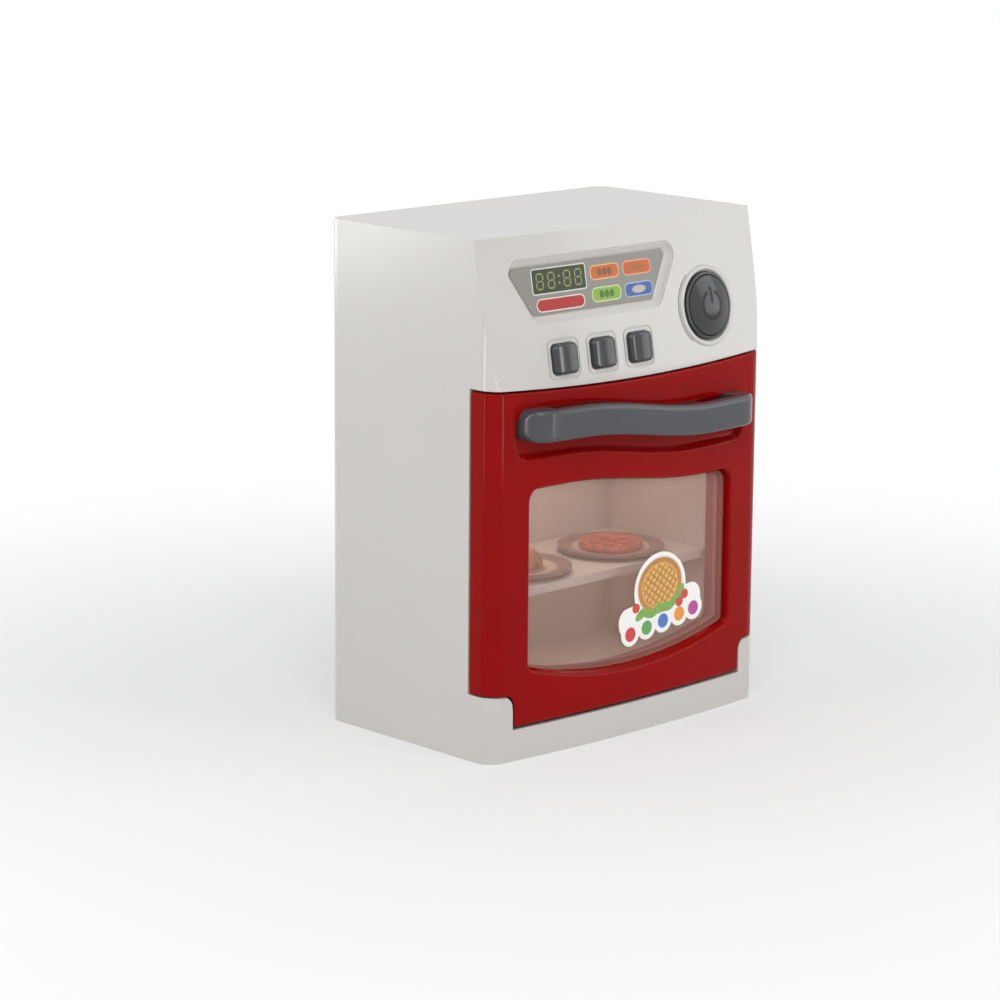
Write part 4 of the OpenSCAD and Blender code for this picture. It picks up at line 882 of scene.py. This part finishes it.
def sticker_finish():
    """Die-cut vinyl sticker: a round pie on leaves with tomatoes, above a row of coloured dots."""
    finish = Finish("vinyl_sticker", Roughness=0.3, Coat_Weight=0.3, Coat_Roughness=0.06)
    x, y, z = finish.xyz()
    turn = math.radians(8)
    middle = (17.0, WINDOW_Z + 4)
    u = (x - middle[0]) * math.cos(turn) + (z - middle[1]) * math.sin(turn)
    v = (z - middle[1]) * math.cos(turn) - (x - middle[0]) * math.sin(turn)
    colour = finish.mix(finish.noise(1.2), rgb(0.86, 0.85, 0.81), rgb(0.92, 0.91, 0.88))
    baked = finish.mix(finish.noise(1.6, 4.0), rgb(0.62, 0.30, 0.06), rgb(0.36, 0.12, 0.02))
    pie = (1.0, 14.0)
    colour = finish.mix(finish.inside_oval(u, v, pie, (21.5, 19.5)), colour, baked)
    colour = finish.mix(finish.inside_oval(u, v, pie, (17.5, 15.5)), colour, rgb(0.72, 0.44, 0.11))
    weave = 1.05
    bars = finish.span(abs(((u + v) * weave).sine()), 0.75, 0.9).at_least(
        finish.span(abs(((u - v) * weave).sine()), 0.75, 0.9))
    lattice = bars * finish.inside_oval(u, v, pie, (16.6, 14.6))
    colour = finish.mix(lattice, colour, baked)
    green = finish.mix(finish.noise(0.8), rgb(0.10, 0.30, 0.04), rgb(0.28, 0.50, 0.10))
    leaves = ((-9, 6.6, 25), (-5, 5.6, -15), (-1, 6.2, 20), (3.4, 5.6, -10), (7.5, 6.8, 24),
              (10.5, 8.6, 60))
    for cu, cv, angle in leaves:
        leaf = finish.inside_oval(u, v, (cu, cv), (6.4, 3.2), 0.12, angle)
        colour = finish.mix(leaf, colour, green)
    for cu, cv in ((-11.2, 9.4), (9.6, 5.4), (12.4, 7.4)):
        colour = finish.mix(finish.inside_oval(u, v, (cu, cv), (3.6, 3.4)), colour, rgb(0.62, 0.05, 0.03))
    dots = ((-15, (0.62, 0.04, 0.05)), (-7, (0.10, 0.36, 0.10)), (1, (0.06, 0.18, 0.55)),
            (9, (0.80, 0.30, 0.03)), (16, (0.45, 0.06, 0.30)))
    for cu, tint in dots:
        colour = finish.mix(finish.inside_oval(u, v, (cu, 1.2), (5.0, 5.0)), colour, rgb(*tint))
    finish.set(Base_Color=colour, Normal=finish.relief(finish.noise(2.5), 0.02))
    return finish


def power_finish(base):
    """Grey plastic whose mark, a ring with a stroke, is printed in black."""
    finish = Finish("power_plastic", IOR=1.5, Specular_IOR_Level=0.4)
    x, y, z = finish.xyz()
    u = x - POWER_X
    v = (z - PANEL_Z) * math.cos(LEAN) + (y + FRONT_TO_MIDDLE) * math.sin(LEAN) - POWER_UP
    far = (u * u + v * v).root()
    ring_r = 4.6
    ring = finish.span(abs(far - ring_r), 0.62, 0.5)
    opening = finish.inside_box(u, v, (0, ring_r), (3.4, 4.0), 0.2)
    stroke = finish.inside_box(u, v, (0, 3.6), (1.1, 5.4), 0.3)
    mark = (ring * (1 - opening)).at_least(stroke)
    flow = finish.noise(9)
    body = finish.mix(flow, rgb(*[c * 0.92 for c in base]), rgb(*[c * 1.08 for c in base]))
    finish.set(Base_Color=finish.mix(mark, body, rgb(0.003, 0.003, 0.0035)),
               Roughness=0.15 + mark * 0.35, Normal=finish.relief(1 - mark, 0.25))
    return finish


def window_finish():
    """Thin clear plastic with a warm smoky tint."""
    finish = Finish("smoked_pane", Roughness=0.06, IOR=1.49, Alpha=0.2)
    haze = finish.noise(14)
    finish.set(Base_Color=finish.mix(haze, rgb(0.48, 0.30, 0.25), rgb(0.54, 0.35, 0.29)))
    return finish


def plate_finish(node):
    """Brown plate plastic with a darker rim and well, and a painted highlight ring between them."""
    low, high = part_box(node)
    middle = (low + high) / 2 / MM
    finish = Finish(node + "_plastic", Roughness=0.3)
    x, y, z = finish.xyz()
    far = ((x - middle.x) ** 2 + (y - middle.y) ** 2).root() * (2 * MM / (high.x - low.x))
    # the ring mask is a painted highlight: a pale band standing in for the shine on the plate
    ring = finish.span(far, 0.5, 0.56) * finish.span(far, 0.76, 0.7)
    speck = finish.noise(2.0)
    dark = finish.mix(speck, rgb(0.20, 0.125, 0.095), rgb(0.24, 0.155, 0.12))
    # the pale colour mixed in on the ring is the painted highlight
    finish.set(Base_Color=finish.mix(ring, dark, rgb(0.55, 0.45, 0.37)),
               Normal=finish.relief(speck, 0.01))
    return finish


def baked_finish(name, light, dark, size):
    """Moulded play food with a toasted, mottled surface."""
    finish = Finish(name, Roughness=0.42)
    mottle = finish.noise(size, 5.0, 0.6)
    pores = finish.noise(0.7, 3.0)
    finish.set(Base_Color=finish.mix(finish.span(mottle, 0.35, 0.68), rgb(*light), rgb(*dark)),
               Normal=finish.relief(mottle * 0.6 + pores * 0.4, 0.25))
    return finish


def make_finishes():
    grey = (0.062, 0.065, 0.072)
    dark_grey = (0.036, 0.037, 0.040)
    return {
        "white": moulded("white_moulding", (0.57, 0.55, 0.52), 0.16, 0.0, 0.006, 0.0015, 0.1),
        "white_inner": moulded("white_liner", (0.60, 0.55, 0.50), 0.42, 0.0, 0.02, 0.003),
        "red": moulded("red_moulding", (0.27, 0.0025, 0.002), 0.1, 0.0, 0.04, 0.001, 0.15, 0.08),
        "grey": moulded("grey_moulding", grey, 0.22, 0.0, 0.04, 0.002, 0.15, 0.4),
        "key": moulded("key_moulding", dark_grey, 0.16, 0.0, 0.04, 0.001, 0.15),
        "power": power_finish(dark_grey),
        "pane": window_finish(),
        "label": label_finish(),
        "sticker": sticker_finish(),
        "steel": metal("zinc_plated_steel", (0.62, 0.62, 0.60), 0.28, 0.18),
        "spring": metal("spring_wire", (0.55, 0.55, 0.56), 0.22, 0.15),
        "nickel": metal("nickel_plate", (0.68, 0.65, 0.58), 0.2, 0.1),
        "cell": moulded("battery_wrap", (0.42, 0.25, 0.06), 0.3, 0.2, 0.1),
        "board": moulded("solder_mask", (0.02, 0.16, 0.05), 0.35, 0.1, 0.15),
        "black": moulded("black_moulding", (0.018, 0.018, 0.02), 0.45, 0.0, 0.1),
        "lens": moulded("frosted_lens", (0.88, 0.82, 0.60), 0.4, 0.0, 0.04),
        "led": moulded("led_resin", (0.90, 0.86, 0.70), 0.12, 0.2, 0.03),
        "left_plate": plate_finish("plate_left"),
        "right_plate": plate_finish("plate_right"),
        "loaf": baked_finish("toasted_loaf", (0.42, 0.17, 0.05), (0.16, 0.05, 0.015), 3.0),
        "pie": baked_finish("topped_pie", (0.62, 0.13, 0.04), (0.30, 0.03, 0.015), 2.2),
        "red_wire": moulded("red_sheath", (0.45, 0.02, 0.02), 0.4),
        "black_wire": moulded("black_sheath", (0.02, 0.02, 0.02), 0.4),
        "white_wire": moulded("white_sheath", (0.62, 0.62, 0.60), 0.4),
    }


NODE_FINISHES = {
    "white": ["front_casing", "rear_casing", "battery_cover"],
    "white_inner": ["oven_liner", "shelf"],
    "red": ["door_shell", "door_frame"],
    "grey": ["handle"],
    "key": ["button_left", "button_middle", "button_right"],
    "power": ["power_button"],
    "pane": ["window_pane"],
    "label": ["display_label"],
    "sticker": ["window_sticker"],
    "steel": ["casing_screws", "liner_screws", "handle_screws", "door_screws", "hinge_pins", "board_screws",
              "speaker_screws", "cover_screw"],
    "spring": ["spring_left", "spring_middle", "spring_right", "spring_power", "battery_springs"],
    "nickel": ["battery_contacts"],
    "cell": ["batteries"],
    "board": ["control_board"],
    "black": ["push_switches", "speaker", "speaker_ring"],
    "lens": ["lamp_lens"],
    "led": ["lamp"],
    "left_plate": ["plate_left"],
    "right_plate": ["plate_right"],
    "loaf": ["food_left"],
    "pie": ["food_right"],
    "red_wire": ["battery_wires"],
    "black_wire": ["speaker_wires"],
    "white_wire": ["lamp_wires"],
}


def paint(piece, finish):
    piece.data.materials.clear()
    piece.data.materials.append(finish.material)


# ---------- stage ----------

CAMERA_TURN = (-43.96, 12.34, 0.443)  # azimuth, elevation and roll, in degrees
CAMERA_PLACE = (-0.8317, -0.8331, 0.3316)


def stage_camera():
    """The camera stands where the photograph was taken from."""
    azimuth, elevation, roll = (math.radians(a) for a in CAMERA_TURN)
    right = Vector((math.cos(azimuth), math.sin(azimuth), 0))
    back = Vector((math.sin(azimuth) * math.cos(elevation), -math.cos(azimuth) * math.cos(elevation),
                   math.sin(elevation)))
    up = back.cross(right)
    turned_right = right * math.cos(roll) + up * math.sin(roll)
    turned_up = up * math.cos(roll) - right * math.sin(roll)
    turn = Matrix((turned_right, turned_up, back)).transposed().to_4x4()
    lens = bpy.data.cameras.new("camera")
    lens.lens = 127.44
    lens.sensor_width = 36
    camera = bpy.data.objects.new("camera", lens)
    bpy.context.scene.collection.objects.link(camera)
    camera.matrix_world = Matrix.Translation(CAMERA_PLACE) @ turn
    bpy.context.scene.camera = camera


def stage_lamp(name, place, target, size, power, tint=(1, 1, 1)):
    """A rectangular lamp that lights its target, and that the camera doesn't see itself."""
    lamp = bpy.data.lights.new(name, "AREA")
    lamp.shape = "RECTANGLE"
    lamp.size, lamp.size_y = size
    lamp.energy = power
    lamp.color = tint
    holder = bpy.data.objects.new(name, lamp)
    bpy.context.scene.collection.objects.link(holder)
    holder.location = place
    holder.visible_camera = False
    holder.rotation_euler = (Vector(target) - Vector(place)).to_track_quat("-Z", "Y").to_euler()


GLOW_SHARE = (0.35, 1.0)
GLOW_FROM, GLOW_TO = 60, 420


def stage_ground():
    """A pale floor that keeps the oven's soft shadow near it. Farther out it fades to white.

    Mirroring surfaces and clear ones show the same white floor as the camera sees.
    """
    pick_nothing()
    bpy.ops.mesh.primitive_plane_add(size=6, location=(0, 0, 0))
    floor = bpy.context.object
    floor.name = "floor"
    finish = Finish("pale_floor", Roughness=0.9, Specular_IOR_Level=0.1)
    seen = finish.node("LightPath", out="Is Camera Ray")
    for ray in ("Is Glossy Ray", "Is Transmission Ray"):
        seen = seen.at_least(finish.node("LightPath", out=ray))
    tone = finish.noise(60)
    finish.set(Base_Color=finish.mix(tone, rgb(0.80, 0.80, 0.79), rgb(0.82, 0.82, 0.81)))
    glow = finish.node("Emission", None, {"Color": rgb(1, 1, 1), "Strength": 1.0})
    blend = finish.tree.nodes.new("ShaderNodeMixShader")
    x, y, z = finish.xyz()
    far = (x * x + y * y).root()
    share = seen * finish.span(far, GLOW_FROM, GLOW_TO, *GLOW_SHARE)
    finish.tree.links.new(share.socket, blend.inputs[0])
    finish.tree.links.new(finish.shader.outputs[0], blend.inputs[1])
    finish.tree.links.new(glow.socket, blend.inputs[2])
    output = next(n for n in finish.tree.nodes if n.type == "OUTPUT_MATERIAL")
    finish.tree.links.new(blend.outputs[0], output.inputs["Surface"])
    paint(floor, finish)


def stage_world():
    """White where it is seen, mirrored or seen through a clear piece, and a dimmer light elsewhere."""
    world = bpy.data.worlds.new("studio")
    bpy.context.scene.world = world
    world.use_nodes = True
    tree = world.node_tree
    tree.nodes.clear()
    output = tree.nodes.new("ShaderNodeOutputWorld")
    light = tree.nodes.new("ShaderNodeBackground")
    light.inputs["Color"].default_value = rgb(0.94, 0.96, 1.0)
    light.inputs["Strength"].default_value = 0.36
    shown = tree.nodes.new("ShaderNodeBackground")
    shown.inputs["Color"].default_value = rgb(1, 1, 1)
    shown.inputs["Strength"].default_value = 1.0
    path = tree.nodes.new("ShaderNodeLightPath")
    blend = tree.nodes.new("ShaderNodeMixShader")
    seen = path.outputs["Is Camera Ray"]
    for ray in ("Is Glossy Ray", "Is Transmission Ray"):
        either = tree.nodes.new("ShaderNodeMath")
        either.operation = "MAXIMUM"
        tree.links.new(seen, either.inputs[0])
        tree.links.new(path.outputs[ray], either.inputs[1])
        seen = either.outputs[0]
    tree.links.new(seen, blend.inputs[0])
    tree.links.new(light.outputs[0], blend.inputs[1])
    tree.links.new(shown.outputs[0], blend.inputs[2])
    tree.links.new(blend.outputs[0], output.inputs["Surface"])


WARM = (1.0, 0.84, 0.72)
WARMER = (1.0, 0.72, 0.54)

# Name, place, target, size, power in watts and, for the two within the cavity, colour.
LAMPS = [
    ("soft_key", (-0.75, -0.75, 0.95), (0, 0, 0.08), (0.7, 0.7), 7.0),
    ("soft_fill", (0.9, -0.7, 0.5), (0, 0, 0.08), (0.6, 0.9), 2.6),
    ("top_light", (0.1, 0.2, 1.1), (0, 0, 0.1), (0.8, 0.8), 1.5),
    ("back_fill", (-0.4, 0.9, 0.085), (0, 0, 0.085), (0.8, 0.15), 2.0),
    ("front_strip", (0.07, -0.42, 0.2), (0, 0, 0.1), (0.05, 0.4), 0.45),
    ("left_strip", (-0.42, 0.02, 0.2), (0, 0, 0.1), (0.04, 0.4), 0.4),
    ("cavity_light", (0, -0.002, 0.1), (0, -0.002, 0.05), (0.07, 0.03), 0.02, WARM),
    ("lower_light", (0, -0.002, 0.052), (0, -0.002, 0.02), (0.07, 0.03), 0.006, WARMER),
]


def build_stage():
    stage_camera()
    stage_world()
    stage_ground()
    for name, place, target, size, power, *tint in LAMPS:
        stage_lamp(name, place, target, size, power, *tint)
    bpy.context.scene.view_settings.view_transform = "Standard"


# ---------- putting it together ----------

build_stage()
finishes = make_finishes()
for finish_name, node_names in NODE_FINISHES.items():
    for node_name in node_names:
        paint(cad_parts[node_name], finishes[finish_name])

paint(door_skin(), finishes["red"])
paint(handle_bar(), finishes["grey"])
paint(display_bezel(), finishes["white"])
paint(display_print(), finishes["label"])
for key_name, key_x in BUTTONS.items():
    paint(push_key(key_name, key_x), finishes["key"])
paint(power_key(), finishes["power"])
for node_name, width in (("front_casing", 0.5), ("rear_casing", 0.7)):
    soft = softened(node_name, width)
    paint(soft, finishes["white"])
    dress(soft, "casing", "white_plastic", node_name)
